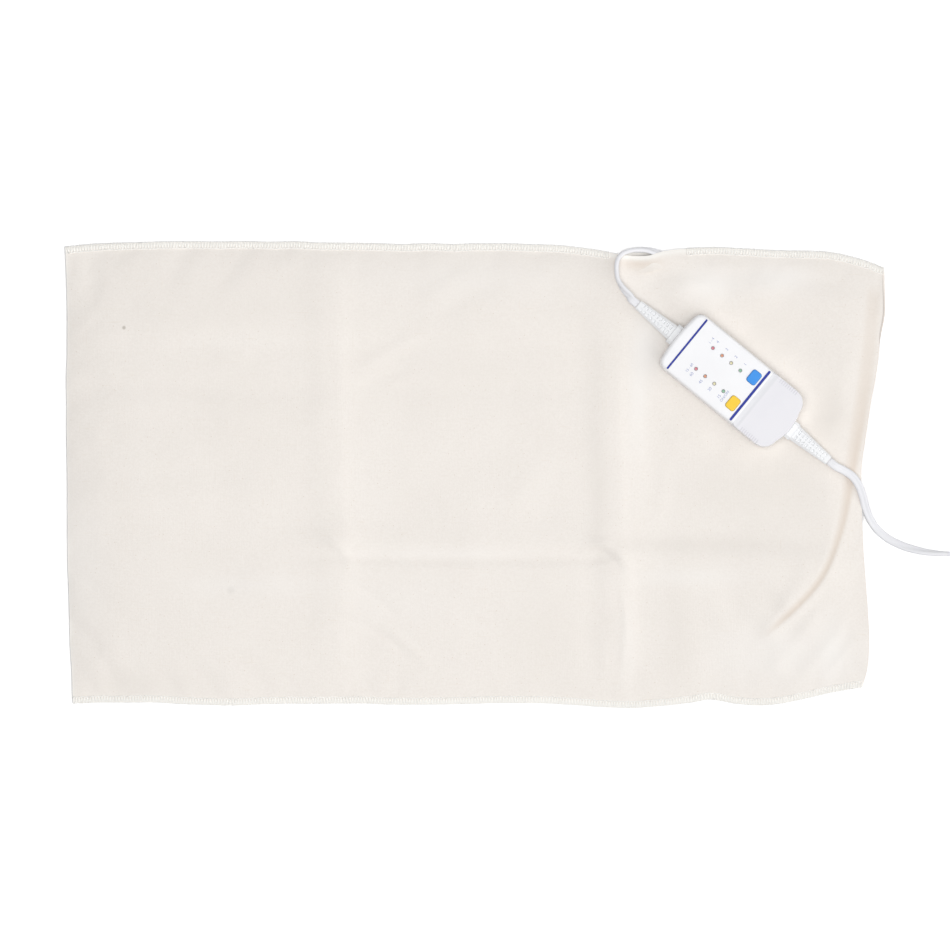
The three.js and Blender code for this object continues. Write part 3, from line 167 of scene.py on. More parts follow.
# Packing folds: steps of height across a line, each an offset to the line's left, a half width and a rise
LEFT_CREASE = [
    (-0.07, 0.04, 0.0009), (-0.012, 0.009, 0.0014), (0.015, 0.005, -0.0012), (0.024, 0.01, -0.0013),
    (0.036, 0.018, -0.001), (0.085, 0.045, 0.001),
]
RIGHT_CREASE_REAR = [
    (-0.06, 0.03, 0.0007), (-0.01, 0.009, 0.0026), (0.015, 0.004, -0.0014), (0.029, 0.012, -0.0034),
    (0.058, 0.01, 0.0006), (0.095, 0.03, 0.0007),
]
RIGHT_CREASE_FRONT = [
    (-0.024, 0.004, -0.0005), (-0.007, 0.005, 0.0012), (0.018, 0.005, -0.0026), (0.052, 0.01, 0.0016),
]
LONG_CREASE_MIDDLE = [
    (0.023, 0.014, -0.0026), (0.005, 0.004, 0.0034), (-0.006, 0.003, -0.0018), (-0.05, 0.028, 0.001),
]
LONG_CREASE_LEFT = [
    (0.085, 0.03, -0.001), (0.034, 0.012, 0.0022), (0.0, 0.018, -0.0008), (-0.035, 0.022, -0.0004),
]
LONG_CREASE_RIGHT = [
    (0.045, 0.025, -0.0004), (0.01, 0.008, -0.0036), (-0.015, 0.009, 0.0043), (-0.048, 0.01, -0.0015),
    (-0.072, 0.014, 0.0015),
]
REAR_CREASE = [(0.037, 0.01, 0.0016), (0.0, 0.005, 0.0008), (-0.014, 0.008, -0.0008)]
LEFT_CREASE_LINE = [(-0.126, 0.2), (-0.124, 0.05), (-0.121, -0.06), (-0.126, -0.2)]
RIGHT_CREASE_LINE = [(0.112, 0.2), (0.111, 0.06), (0.113, -0.06), (0.115, -0.2)]
LONG_CREASE_LINE = [
    (-0.35, -0.062), (-0.2, -0.064), (-0.116, -0.067), (0.0, -0.068), (0.12, -0.069), (0.2, -0.073),
    (0.345, -0.076),
]
REAR_CREASE_LINE = [(-0.35, 0.08), (-0.1, 0.077), (0.1, 0.078), (0.16, 0.07)]
CREASE_FRONT_Y = (-0.1, -0.05)
CREASE_REAR_Y = (0.08, 0.16)
LONG_CREASE_LEFT_X = (-0.175, -0.105)
LONG_CREASE_RIGHT_X = (0.1, 0.13)
REAR_CREASE_END_X = (0.1, 0.16)
LEFT_FADE_SHARE = 0.35
RIGHT_FADE_SHARE = 0.6
LONG_WANDER_SHARE = 0.6

# Loose fold at the mouth, and the warm light in it and below the lead
MOUTH_FOLD_LINE = [
    (0.337, 0.163), (0.3295, 0.088), (0.317, 0.009), (0.307, -0.047), (0.289, -0.0895), (0.247, -0.1317),
    (0.2385, -0.138),
]
FOLD_WIDTHS = (0.006, 0.0028)
FOLD_RISE = 0.0024
FOLD_REACH = 0.085
FOLD_DIPS = (0.0008, 0.0016)
FOLD_NARROWS_SHARES = (0.3, 0.75)
FOLD_END_SHARES = (0.06, 0.88)
WARM_END_SHARES = (0.05, 0.9)
WARM_DEEPENS_SHARES = (0.1, 0.5)
WARM_SHARE = 0.36
WARM_GAIN = 0.56
WARM_TILT = 0.22
LEAD_POCKET = [(0.139, 0.18, 0.016, 0.008, 0.85)]

# Short wrinkles: start, end, height and half width
WRINKLES = [
    ((-0.108, 0.082), (-0.03, 0.125), 0.0007, 0.006), ((-0.104, 0.07), (-0.05, 0.09), -0.0006, 0.005),
    ((-0.062, 0.135), (0.02, 0.185), 0.0007, 0.007), ((-0.04, 0.128), (0.03, 0.168), -0.0005, 0.006),
    ((-0.112, -0.112), (-0.03, -0.172), 0.0008, 0.003), ((-0.1, -0.126), (-0.052, -0.16), -0.0006, 0.0025),
    ((-0.112, -0.09), (-0.06, -0.128), -0.0007, 0.003), ((0.092, -0.05), (0.134, -0.08), 0.001, 0.004),
    ((0.1, -0.062), (0.126, -0.084), -0.0008, 0.003), ((0.084, -0.064), (0.122, -0.056), 0.0007, 0.003),
    ((0.092, -0.079), (0.13, -0.072), 0.0006, 0.003), ((0.14, 0.15), (0.165, 0.12), 0.0004, 0.006),
    ((-0.128, -0.05), (-0.1, -0.085), 0.0009, 0.004), ((0.1, -0.118), (0.106, -0.19), 0.0005, 0.005),
    ((0.119, -0.08), (0.122, -0.18), 0.0007, 0.0025), ((0.286, -0.07), (0.228, -0.158), 0.0012, 0.007),
    ((0.306, -0.09), (0.24, -0.18), 0.0013, 0.007), ((0.322, -0.112), (0.262, -0.186), 0.0013, 0.006),
    ((0.324, -0.136), (0.285, -0.18), 0.001, 0.004), ((-0.33, 0.12), (-0.24, 0.105), 0.0006, 0.01),
    ((-0.33, 0.06), (-0.15, 0.035), 0.0007, 0.012), ((-0.3, -0.01), (-0.18, 0.0), -0.0006, 0.01),
    ((0.06, 0.02), (0.02, -0.04), 0.0004, 0.01), ((0.16, 0.02), (0.148, -0.05), 0.0006, 0.007),
    ((0.19, -0.02), (0.26, -0.04), 0.0006, 0.008),
]
WRINKLE_BOW_SHARE = 0.06
WRINKLE_END_SHARES = (0.35, 0.65)

# Painted highlights and painted shade on the cloth, as lighter or darker patches of its colour: middle, half
# length, half width, strength (above 0 a painted highlight, below 0 painted shade)
PAINTED_LIGHT_PATCHES = [
    (0.198, 0.16, 0.024, 0.014, 0.8), (0.256, 0.165, 0.028, 0.012, 0.75), (0.262, -0.152, 0.062, 0.026, 0.5),
    (0.302, -0.15, 0.013, 0.03, 0.4), (0.137, 0.07, 0.008, 0.05, 0.55), (0.24, 0.002, 0.05, 0.036, -0.55),
    (0.19, -0.058, 0.065, 0.007, -0.45), (0.18, -0.0865, 0.045, 0.008, 0.4),
    (0.172, -0.142, 0.014, 0.036, -0.4), (0.128, -0.143, 0.006, 0.035, 0.25),
    (0.104, -0.01, 0.008, 0.04, -0.4), (0.065, -0.135, 0.038, 0.045, -0.32),
    (-0.19, 0.112, 0.06, 0.008, 0.16), (-0.19, 0.143, 0.07, 0.018, -0.26), (-0.19, 0.05, 0.062, 0.055, -0.2),
    (-0.19, -0.093, 0.06, 0.01, 0.28), (-0.095, 0.08, 0.022, 0.035, -0.18), (0.0, 0.09, 0.08, 0.04, -0.2),
    (0.003, 0.166, 0.1, 0.018, 0.3), (-0.02, -0.066, 0.08, 0.005, 0.3), (-0.05, -0.105, 0.05, 0.022, 0.16),
    (-0.332, -0.07, 0.02, 0.07, 0.3), (-0.29, -0.176, 0.06, 0.012, -0.4),
    (0.246, 0.116, 0.024, 0.018, -0.65), (0.297, 0.052, 0.018, 0.028, -0.8), (0.147, 0.11, 0.012, 0.03, 0.8),
]

# Soft bulges behind the controller: middle, half length, half width and height
BULGES = [(0.184, 0.157, 0.022, 0.016, 0.004), (0.243, 0.16, 0.022, 0.015, 0.0034)]

# Uneven cloth: height, cell size and seed
CREASE_WANDER = (0.0022, 0.045, 3)
WIDE_SWELL = (0.0005, 0.06, 21)
SMALL_SWELL = (0.00024, 0.03, 22)
CORNER_WAVES = (0.0013, 0.024, 23)
FINE_SWELL = (0.00007, 0.01, 24)
EDGE_RIPPLE = (0.0004, 0.016, 31)
EDGE_WANDER = (0.0005, 0.022)
EDGE_SEEDS = (11, 12, 13, 14)
WANDER_FADE = 0.3
WIDE_SKEW = 1.3
CORNER_SKEWS = (1.4, 0.5)
LOOSE_X = (0.12, 0.33)
LOOSE_GAIN = 0.5
CORNER_X = (0.16, 0.28)
CORNER_Y = (-0.13, -0.05)
CASE_MARGIN = (0.004, 0.03)
EDGE_RELIEF_SHARE = 0.15

# Controller, as in the part
CASE_CENTRE = (0.2172, 0.0772)
CASE_TURN = math.radians(-39.3)
CASE_LENGTH = 0.124
CASE_WIDTH = 0.0575
CASE_HEIGHT = 0.024
CASE_FLOOR = 0.0099
RELIEF_AXIS = CASE_FLOOR + 0.01015
RELIEF_REACH = 0.0415
GRIP_START = (0.0228, 0.025)
GRIP_STEP_START = (0.0203, 0.0209)
GRIP_STEP_END = (0.0254, 0.0272)
NOTCH_LEVELS = (CASE_FLOOR + 0.0223, CASE_FLOOR + 0.0219)
FLANGE_FACE = (0.0001, 0.0009)
FLANGE_REACH = 0.0025
FLANGE_GAP = 0.00005
CASE_ROUND = 0.00025
KEY_ROUND = 0.0003
BLADE_ROUND = 0.0002
FINE_ROUND = 0.0001
KEY_SWELL = 0.00012
SHARP_ANGLE = math.radians(32)
FLAT_ANGLE = math.radians(0.5)
WELD_DISTANCE = 0.000002
LEAST_LENGTH = 1e-12

# Cords, as in the part: route points are X and Y from the mouth's rear corner, Z and the roll in degrees
CORNER = (0.345, 0.196)
CORD_WIDTH = 0.007
CORD_THICKNESS = 0.0038
CORD_WAIST = 0.0027
CORD_GAP = 0.0003
LEAD_ROUTE = [
    (-0.215, -0.0458, 0.019, 25), (-0.2205, -0.0395, 0.0172, 60), (-0.2247, -0.0319, 0.0154, 90),
    (-0.2259, -0.0252, 0.0144, 90), (-0.2259, -0.0197, 0.0136, 90), (-0.2247, -0.0147, 0.0122, 90),
    (-0.2209, -0.0102, 0.0102, 90), (-0.215, -0.0078, 0.0082, 90), (-0.2085, -0.0068, 0.0066, 86),
    (-0.2005, -0.007, 0.0056, 72), (-0.1935, -0.0088, 0.005, 42), (-0.1865, -0.0118, 0.0043, 10),
    (-0.179, -0.0158, 0.0039, 0), (-0.171, -0.0196, 0.0036, 0), (-0.162, -0.0228, 0.0033, 0),
    (-0.152, -0.0244, 0.0032, 0), (-0.12, -0.0248, 0.0032, 0), (-0.09, -0.0248, 0.0032, 0),
    (-0.069, -0.0248, 0.0032, 0), (-0.057, -0.0262, 0.0032, 0), (-0.047, -0.0312, 0.0032, 0),
    (-0.041, -0.0392, 0.0032, 0),
]
MAINS_ROUTE = [
    (-0.0357, -0.1921, 0.0173, 0), (-0.0278, -0.1973, 0.0154, 0), (-0.0224, -0.2046, 0.0134, 0),
    (-0.019, -0.213, 0.011, 0), (-0.0164, -0.223, 0.0076, 0), (-0.0125, -0.233, 0.0044, 0),
    (-0.006, -0.2425, 0.0024, 0), (0.003, -0.25, 0.00205, 0), (0.014, -0.2556, 0.0025, 8),
    (0.026, -0.2594, 0.0031, 30), (0.039, -0.2618, 0.0035, 60), (0.055, -0.2629, 0.0036, 90),
    (0.08, -0.263, 0.0036, 90),
]
COIL_CENTRE = (0.464, -0.117)
COIL_RADIUS = 0.05
COIL_TURNS = 7.25
COIL_CLIMB_TURNS = 0.5
COIL_PITCH = 0.005
COIL_LAYER = 0.0076
COIL_FLOOR = 0.0036
COIL_STEPS = 48
TAIL_LENGTH = 0.074
TAIL_STEPS = 24
TAIL_SHARES = (0.3, 0.88)
ROUTE_STEPS = 24
LEAD_RINGS = 170
MAINS_RINGS = 130
CORE_ARC = 112
CORE_ARC_STEPS = 11
PLUG_AXIS = 0.0076


# Helpers for objects, meshes and random heights

def smoothstep(low, high, value):
    share = np.clip((value - low) / (high - low), 0, 1)
    return share * share * (3 - 2 * share)


def linked(name, data):
    """A new object in the scene that holds this data."""
    thing = bpy.data.objects.new(name, data)
    bpy.context.scene.collection.objects.link(thing)
    return thing


def seated(thing, slot, *nodes, body="pad"):
    """Puts a piece on its body, in the place of the nodes that it stands for."""
    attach(thing, body)
    if nodes:
        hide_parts(*nodes)
    return thing


def piece(name, points, faces, material):
    """A new object of these points and faces, with its faces turned outwards."""
    mesh = bpy.data.meshes.new(name)
    mesh.from_pydata([tuple(p) for p in points], [], faces)
    made = bmesh.new()
    made.from_mesh(mesh)
    bmesh.ops.recalc_face_normals(made, faces=made.faces)
    made.to_mesh(mesh)
    made.free()
    mesh.polygons.foreach_set("use_smooth", np.ones(len(mesh.polygons), bool))
    mesh.materials.append(material)
    return linked(name, mesh)


def smooth_curve(points, steps):
    """Centripetal curve through points of any width: steps samples a stretch."""
    points = np.array(points, float)
    ends = np.vstack([2 * points[0] - points[1], points, 2 * points[-1] - points[-2]])
    share = np.linspace(0, 1, steps, endpoint=False)[:, None]
    samples = []
    for p0, p1, p2, p3 in zip(ends, ends[1:], ends[2:], ends[3:]):
        t0, t1, t2 = (math.sqrt(np.linalg.norm((b - a)[:3])) for a, b in ((p0, p1), (p1, p2), (p2, p3)))
        out = t1 * ((p1 - p0) / t0 - (p2 - p0) / (t0 + t1) + (p2 - p1) / t1)
        into = t1 * ((p2 - p1) / t1 - (p3 - p1) / (t1 + t2) + (p3 - p2) / t2)
        cubic = 2 * (p1 - p2) + out + into
        square = 3 * (p2 - p1) - 2 * out - into
        samples.append(p1 + out * share + square * share**2 + cubic * share**3)
    return np.vstack([*samples, points[-1:]])


def resample(points, count):
    """Evenly spaced points along a line of points."""
    lengths = np.linalg.norm(np.diff(points[:, :3], axis=0), axis=1)
    run = np.concatenate([[0], np.cumsum(lengths)])
    places = np.linspace(0, run[-1], count)
    return np.column_stack([np.interp(places, run, column) for column in points.T])


def run_length(points):
    return float(np.linalg.norm(np.diff(points[:, :3], axis=0), axis=1).sum())


def tube(name, points, rolls, section, material):
    """Sweeps a flat section along a line of points that never stands upright."""
    ahead = np.gradient(points, axis=0)
    ahead /= np.linalg.norm(ahead, axis=1)[:, None]
    side = np.cross(ahead, (0, 0, 1))
    side /= np.linalg.norm(side, axis=1)[:, None]
    over = np.cross(side, ahead)
    cos, sin = np.cos(rolls)[:, None], np.sin(rolls)[:, None]
    turned_side, turned_over = cos * side + sin * over, cos * over - sin * side
    section = np.array(section)
    rings = (points[:, None] + section[None, :, :1] * turned_side[:, None]
             + section[None, :, 1:] * turned_over[:, None])
    return piece(name, rings.reshape(-1, 3), ring_faces(len(points), len(section)), material)


def ring_faces(rings, sides, caps=True):
    faces = []
    for r in range(rings - 1):
        for i in range(sides):
            a, b = r * sides + i, r * sides + (i + 1) % sides
            faces.append((a, b, b + sides, a + sides))
    if caps:
        faces.append(tuple(range(sides)))
        faces.append(tuple(range((rings - 1) * sides, rings * sides)))
    return faces


def waves(x, y, height, cell, seed):
    """Smooth random heights."""
    return height * noise_field(x, y, cell, seed)


def patches(x, y, table):
    """Sum of soft patches, each a middle, a half length, a half width and a strength."""
    return sum(
        strength * np.exp(-((x - middle_x) / length) ** 2 - ((y - middle_y) / width) ** 2)
        for middle_x, middle_y, length, width, strength in table
    )


def noise_field(x, y, cell, seed):
    """Smooth random field of about -1 to 1, whose bumps are about a cell across."""
    gx, gy = x / cell + 1000, y / cell + 1000
    ix, iy = np.floor(gx).astype(int), np.floor(gy).astype(int)
    table = np.random.RandomState(seed).uniform(-1, 1, (256, 256))
    fx, fy = gx - ix, gy - iy
    fx, fy = fx * fx * (3 - 2 * fx), fy * fy * (3 - 2 * fy)
    corner = lambda a, b: table[(ix + a) % 256, (iy + b) % 256]
    low = corner(0, 0) * (1 - fx) + corner(1, 0) * fx
    high = corner(0, 1) * (1 - fx) + corner(1, 1) * fx
    return low * (1 - fy) + high * fy


# Materials

def add_node(tree, kind, values=None, links=None, **settings):
    made = tree.nodes.new("ShaderNode" + kind)
    for name, value in settings.items():
        setattr(made, name, value)
    for socket, value in (values or {}).items():
        made.inputs[socket].default_value = value
    for socket, source in (links or {}).items():
        tree.links.new(source, made.inputs[socket])
    return made


def srgb(red, green, blue):
    """Linear colour, with alpha, of a display colour from 0 to 255."""
    def linear(value):
        value /= 255
        return value / 12.92 if value <= 0.04045 else ((value + 0.055) / 1.055) ** 2.4
    return (linear(red), linear(green), linear(blue), 1)


class Finish:
    """A procedural material under construction."""

    def __init__(self, name, roughness, **sockets):
        self.material = bpy.data.materials.new(name)
        self.material.use_nodes = True
        self.tree = self.material.node_tree
        self.shader = self.tree.nodes["Principled BSDF"]
        self.shader.inputs["Roughness"].default_value = roughness
        for socket, value in sockets.items():
            self.shader.inputs[socket.replace("_", " ")].default_value = value
        self.place = add_node(self.tree, "TexCoord").outputs["Object"]

    def stretched(self, scale):
        mapping = add_node(self.tree, "Mapping", {"Scale": scale}, {"Vector": self.place})
        return mapping.outputs["Vector"]

    def noise(self, scale, detail=2.0, place=None, roughness=0.5):
        made = add_node(
            self.tree, "TexNoise", {"Scale": scale, "Detail": detail, "Roughness": roughness},
            {"Vector": place or self.place},
        )
        return made.outputs["Fac"]

    def ramp(self, source, low, high, start=0.0, end=1.0):
        made = add_node(
            self.tree, "MapRange", {"From Min": low, "From Max": high, "To Min": start, "To Max": end},
            {"Value": source}, interpolation_type="SMOOTHSTEP",
        )
        return made.outputs["Result"]

    def math(self, operation, first, second):
        made = add_node(self.tree, "Math", operation=operation)
        for socket, value in enumerate((first, second)):
            if isinstance(value, (int, float)):
                made.inputs[socket].default_value = value
            else:
                self.tree.links.new(value, made.inputs[socket])
        return made.outputs["Value"]

    def mix(self, share, first, second):
        made = add_node(self.tree, "Mix", data_type="RGBA")
        for socket, value in ((0, share), (6, first), (7, second)):
            if isinstance(value, bpy.types.NodeSocket):
                self.tree.links.new(value, made.inputs[socket])
            else:
                made.inputs[socket].default_value = value
        return made.outputs[2]

    def colour(self, source):
        self.tree.links.new(source, self.shader.inputs["Base Color"])

    def roughen(self, source):
        self.tree.links.new(source, self.shader.inputs["Roughness"])

    def bump(self, *layers):
        """Layers are (height source, distance in metres) pairs, stacked."""
        normal = None
        for source, distance in layers:
            links = {"Height": source}
            if normal is not None:
                links["Normal"] = normal
            made = add_node(self.tree, "Bump", {"Distance": distance, "Strength": 1.0}, links)
            normal = made.outputs["Normal"]
        self.tree.links.new(normal, self.shader.inputs["Normal"])


# Flannel: colours, sizes of its noises in bumps a metre, and limits between which each shows
CREAM = (srgb(238, 232, 225.5), srgb(243, 237.5, 231.5))
SLUB_COLOUR = srgb(233, 223, 210)
FLECK_COLOUR = srgb(186, 156, 122)
# Painted highlight and painted shade colours of the cloth's light and shade patches
PAINTED_HIGHLIGHT_COLOUR = srgb(246, 242.5, 238.5)
PAINTED_SHADE_COLOUR = srgb(234, 228, 221)
WARM_COLOUR = srgb(226, 214, 202)
# White of the stitched bands, also used as painted light along the plain fold
HEM_AND_PAINTED_LIGHT_COLOUR = srgb(247, 244, 239)
CLOUD_SCALE, MOTTLE_SCALE, FLECK_SCALE, NAP_SCALE, FUZZ_SCALE = 26, 520, 280.0, 700, 2600
WEFT_STRETCH = (60, 900, 400)
WARP_STRETCH = (900, 60, 400)
MOTTLE_LIMITS = (0.42, 0.83)
WEFT_LIMITS = (0.62, 0.78)
WARP_LIMITS = (0.64, 0.8)
FLECK_CHOSEN = (0.6, 0.7)
FLECK_SIZES = (0.13, 0.05)
CLOUD_SHARE, SLUB_SHARE, FLECK_SHARE = 0.25, 0.3, 0.42
WEAVE_DEPTH, NAP_DEPTH, FUZZ_DEPTH = 0.00007, 0.0001, 0.00005

# Marks on the cloth: X, Y, radius, strength and colour
SPOTS = (
    (-0.2053, -0.0972, 0.0046, 0.18, srgb(196, 193, 188)),
    (-0.2954, 0.1236, 0.0022, 0.42, srgb(120, 108, 84)),
    (-0.248, 0.129, 0.0014, 0.2, srgb(150, 130, 100)),
    (0.064, -0.121, 0.0013, 0.2, srgb(150, 130, 100)),
)

# Plastics: colours, and limits between which clouds and scuffs show
CASE_WHITES = (srgb(248, 248, 250), srgb(251, 251, 253))
GRIP_WHITES = (srgb(237, 236, 241), srgb(240, 239, 243))
# Painted shade on the step down to the grip and in the grip's notches
STEP_PAINTED_SHADE = srgb(230, 230, 234)
NOTCH_PAINTED_SHADE = srgb(227, 226, 231)
GRIP_FACING = (0.93, 0.985)
GRIP_DULLNESS = 0.1
CASE_GLOSS = (0.34, 0.44)
PLASTIC_CLOUDS = 30.0
CLOUD_LIMITS = (0.3, 0.7)
SCUFF_LIMITS = (0.35, 0.75)
SCUFF_STRETCH = (120, 700, 300)
SCUFF_DULLNESS = 0.1
GRAIN_DEPTH = 0.000012
LENS_ROUGHNESS = 0.15
LENS_RIM = (0.22, 0.36)
LENS_SIDES = (0.35, 0.75)
LENS_RIM_COLOUR = srgb(236, 234, 236)
LENS_CLOUD_SCALE, LENS_SCUFF_SCALE = 2000, 3000
LENS_DEPTH = 0.000002
METAL_STRETCH = (200, 3000, 3000)
METAL_HIGHLIGHT = 1.12
METAL_DULLNESS = 0.15
METAL_DEPTH = 0.000008


def flannel_finish():
    """Natural cream cotton: soft mottling, slubs both ways, small seed flecks and a brushed nap; from the
    cover's attributes, painted highlights and shade, painted warm bounce light, and whiter stitched bands
    with painted light along the plain fold.
    """
    finish = Finish("flannel", 0.95, Sheen_Weight=0.05, Sheen_Roughness=0.6, Specular_IOR_Level=0.15)
    cloud = finish.math("MULTIPLY", finish.noise(CLOUD_SCALE, 3.0), CLOUD_SHARE)
    mottle = finish.math("ADD", cloud, finish.noise(MOTTLE_SCALE, 3.0, roughness=0.8))
    weft, warp = (finish.noise(1.0, 2.0, finish.stretched(way)) for way in (WEFT_STRETCH, WARP_STRETCH))
    slubs = finish.math("MAXIMUM", finish.ramp(weft, *WEFT_LIMITS), finish.ramp(warp, *WARP_LIMITS))
    shade = finish.mix(finish.ramp(mottle, *MOTTLE_LIMITS), *CREAM)
    shade = finish.mix(finish.math("MULTIPLY", slubs, SLUB_SHARE), shade, SLUB_COLOUR)
    shade = finish.mix(seed_flecks(finish), shade, FLECK_COLOUR)
    for x, y, size, share, tone in SPOTS:
        apart = add_node(
            finish.tree, "VectorMath", {1: (x, y, PAD_TOP)}, {0: finish.place}, operation="DISTANCE")
        spot = finish.math("MULTIPLY", finish.ramp(apart.outputs["Value"], size, size / 3), share)
        shade = finish.mix(spot, shade, tone)
    warmth, hem_and_painted_light, tone = (
        add_node(finish.tree, "Attribute", attribute_name=name, attribute_type="GEOMETRY").outputs["Fac"]
        for name in ("warmth", "hem_and_painted_light", "tone")
    )
    # Painted highlights, then painted shade, from the cloth's light and shade patches
    shade = finish.mix(finish.math("MAXIMUM", tone, 0.0), shade, PAINTED_HIGHLIGHT_COLOUR)
    away = finish.math("MAXIMUM", finish.math("MULTIPLY", tone, -1.0), 0.0)
    shade = finish.mix(away, shade, PAINTED_SHADE_COLOUR)
    # The stitched bands' white, and painted light along the plain fold
    finish.colour(finish.mix(hem_and_painted_light, finish.mix(warmth, shade, WARM_COLOUR), HEM_AND_PAINTED_LIGHT_COLOUR))
    nap = finish.noise(NAP_SCALE, 3.0, roughness=0.7)
    fuzz = finish.noise(FUZZ_SCALE, 2.0)
    finish.roughen(finish.ramp(nap, 0.2, 0.8, 0.88, 1.0))
    finish.bump((finish.math("ADD", weft, warp), WEAVE_DEPTH), (nap, NAP_DEPTH), (fuzz, FUZZ_DEPTH))
    return finish.material


def seed_flecks(finish):
    """Small dark flecks at some of the cells of a scattered pattern."""
    cells = add_node(finish.tree, "TexVoronoi", {"Scale": FLECK_SCALE}, {"Vector": finish.place}).outputs
    chosen = finish.ramp(cells["Color"], *FLECK_CHOSEN)
    spots = finish.ramp(cells["Distance"], *FLECK_SIZES)
    return finish.math("MULTIPLY", finish.math("MULTIPLY", spots, chosen), FLECK_SHARE)


def thread_finish():
    finish = Finish("overlock_thread", 0.85, Sheen_Weight=0.1, Specular_IOR_Level=0.25)
    shade = finish.noise(350, 3.0)
    finish.colour(finish.mix(shade, srgb(247, 245, 240), srgb(254, 253, 250)))
    finish.roughen(finish.ramp(shade, 0.3, 0.7, 0.75, 0.92))
    finish.bump((finish.noise(4000, 2.0), 0.00006))
    return finish.material


def case_finish():
    """White plastic, greyer on the flat of the grip, with painted shade on the step down to it and in its
    notches.
    """
    finish = Finish("case_plastic", 0.36)
    way = (math.cos(CASE_TURN), math.sin(CASE_TURN))
    axis = add_node(finish.tree, "VectorMath", {1: (*way, 0)}, {0: finish.place}, operation="DOT_PRODUCT")
    along = finish.math("SUBTRACT", axis.outputs["Value"], CASE_CENTRE[0] * way[0] + CASE_CENTRE[1] * way[1])
    facing = add_node(finish.tree, "NewGeometry").outputs["Normal"]
    upward = add_node(finish.tree, "SeparateXYZ", {}, {0: facing}).outputs["Z"]
    height = add_node(finish.tree, "SeparateXYZ", {}, {0: finish.place}).outputs["Z"]
    grip = finish.math("MULTIPLY", finish.ramp(along, *GRIP_START), finish.ramp(upward, *GRIP_FACING))
    # Painted shade: in the notches below their tops, and on the band of the step down to the grip
    notch_shade = finish.math("MULTIPLY", finish.ramp(height, *NOTCH_LEVELS), grip)
    step = finish.math("SUBTRACT", finish.ramp(along, *GRIP_STEP_START), finish.ramp(along, *GRIP_STEP_END))
    cloud = finish.ramp(finish.noise(PLASTIC_CLOUDS, 3.0), *CLOUD_LIMITS)
    shade = finish.mix(grip, finish.mix(cloud, *CASE_WHITES), finish.mix(cloud, *GRIP_WHITES))
    finish.colour(finish.mix(notch_shade, finish.mix(step, shade, STEP_PAINTED_SHADE), NOTCH_PAINTED_SHADE))
    scuffs = finish.ramp(finish.noise(1.0, 3.0, finish.stretched(SCUFF_STRETCH)), *SCUFF_LIMITS, *CASE_GLOSS)
    finish.roughen(finish.math("ADD", scuffs, finish.math("MULTIPLY", grip, GRIP_DULLNESS)))
    finish.bump((finish.noise(2200, 2.0), GRAIN_DEPTH), (finish.noise(300, 1.0), GRAIN_DEPTH))
    return finish.material


def moulded_finish(name, light, dark, roughness, grain=900.0, **sockets):
    """Moulded plastic: a faint clouding, a fine spark-eroded grain and scuffs in the gloss."""
    finish = Finish(name, roughness, **sockets)
    finish.colour(finish.mix(finish.ramp(finish.noise(PLASTIC_CLOUDS, 3.0), *CLOUD_LIMITS), dark, light))
    scuffs = finish.noise(1.0, 3.0, finish.stretched(SCUFF_STRETCH))
    finish.roughen(finish.ramp(scuffs, *SCUFF_LIMITS, roughness, roughness + SCUFF_DULLNESS))
    finish.bump((finish.noise(grain * 2.5, 2.0), GRAIN_DEPTH), (finish.noise(grain / 3, 1.0), GRAIN_DEPTH))
    return finish.material


def lens_finish(name, light, dark):
    """Clear coloured plastic, lit from one side, with a pale rim where the light comes through its edge."""
    finish = Finish(name, LENS_ROUGHNESS, Coat_Weight=0.4)
    within = add_node(finish.tree, "TexCoord").outputs["Generated"]
    flat = add_node(finish.tree, "Mapping", {"Scale": (1, 1, 0)}, {"Vector": within}).outputs["Vector"]
    middle = {1: (0.5, 0.5, 0)}
    away = add_node(finish.tree, "VectorMath", middle, {0: flat}, operation="DISTANCE").outputs["Value"]
    across = add_node(finish.tree, "SeparateXYZ", {}, {0: flat}).outputs["X"]
    body = finish.mix(finish.ramp(across, *LENS_SIDES), light, dark)
    cloudy = finish.mix(finish.math("MULTIPLY", finish.noise(LENS_CLOUD_SCALE, 2.0), 0.2), body, light)
    finish.colour(finish.mix(finish.ramp(away, *LENS_RIM), cloudy, LENS_RIM_COLOUR))
    scuffs = finish.noise(LENS_SCUFF_SCALE, 2.0)
    finish.roughen(finish.ramp(scuffs, *SCUFF_LIMITS, LENS_ROUGHNESS, LENS_ROUGHNESS + SCUFF_DULLNESS))
    finish.bump((scuffs, LENS_DEPTH))
    return finish.material


def metal_finish(name, tone, roughness):
    finish = Finish(name, roughness, Metallic=1.0)
    brushed = finish.noise(1.0, 3.0, finish.stretched(METAL_STRETCH))
    bright = (*(min(channel * METAL_HIGHLIGHT, 1) for channel in tone[:3]), 1)
    finish.colour(finish.mix(finish.ramp(brushed, *CLOUD_LIMITS), tone, bright))
    finish.roughen(finish.ramp(brushed, *CLOUD_LIMITS, roughness, roughness + METAL_DULLNESS))
    finish.bump((brushed, METAL_DEPTH))
    return finish.material


def felt_finish():
    finish = Finish("felt", 0.97, Specular_IOR_Level=0.15)
    fibres = finish.noise(500, 4.0, roughness=0.7)
    finish.colour(finish.mix(fibres, srgb(224, 220, 208), srgb(242, 239, 230)))
    finish.bump((fibres, 0.0003))
    return finish.material


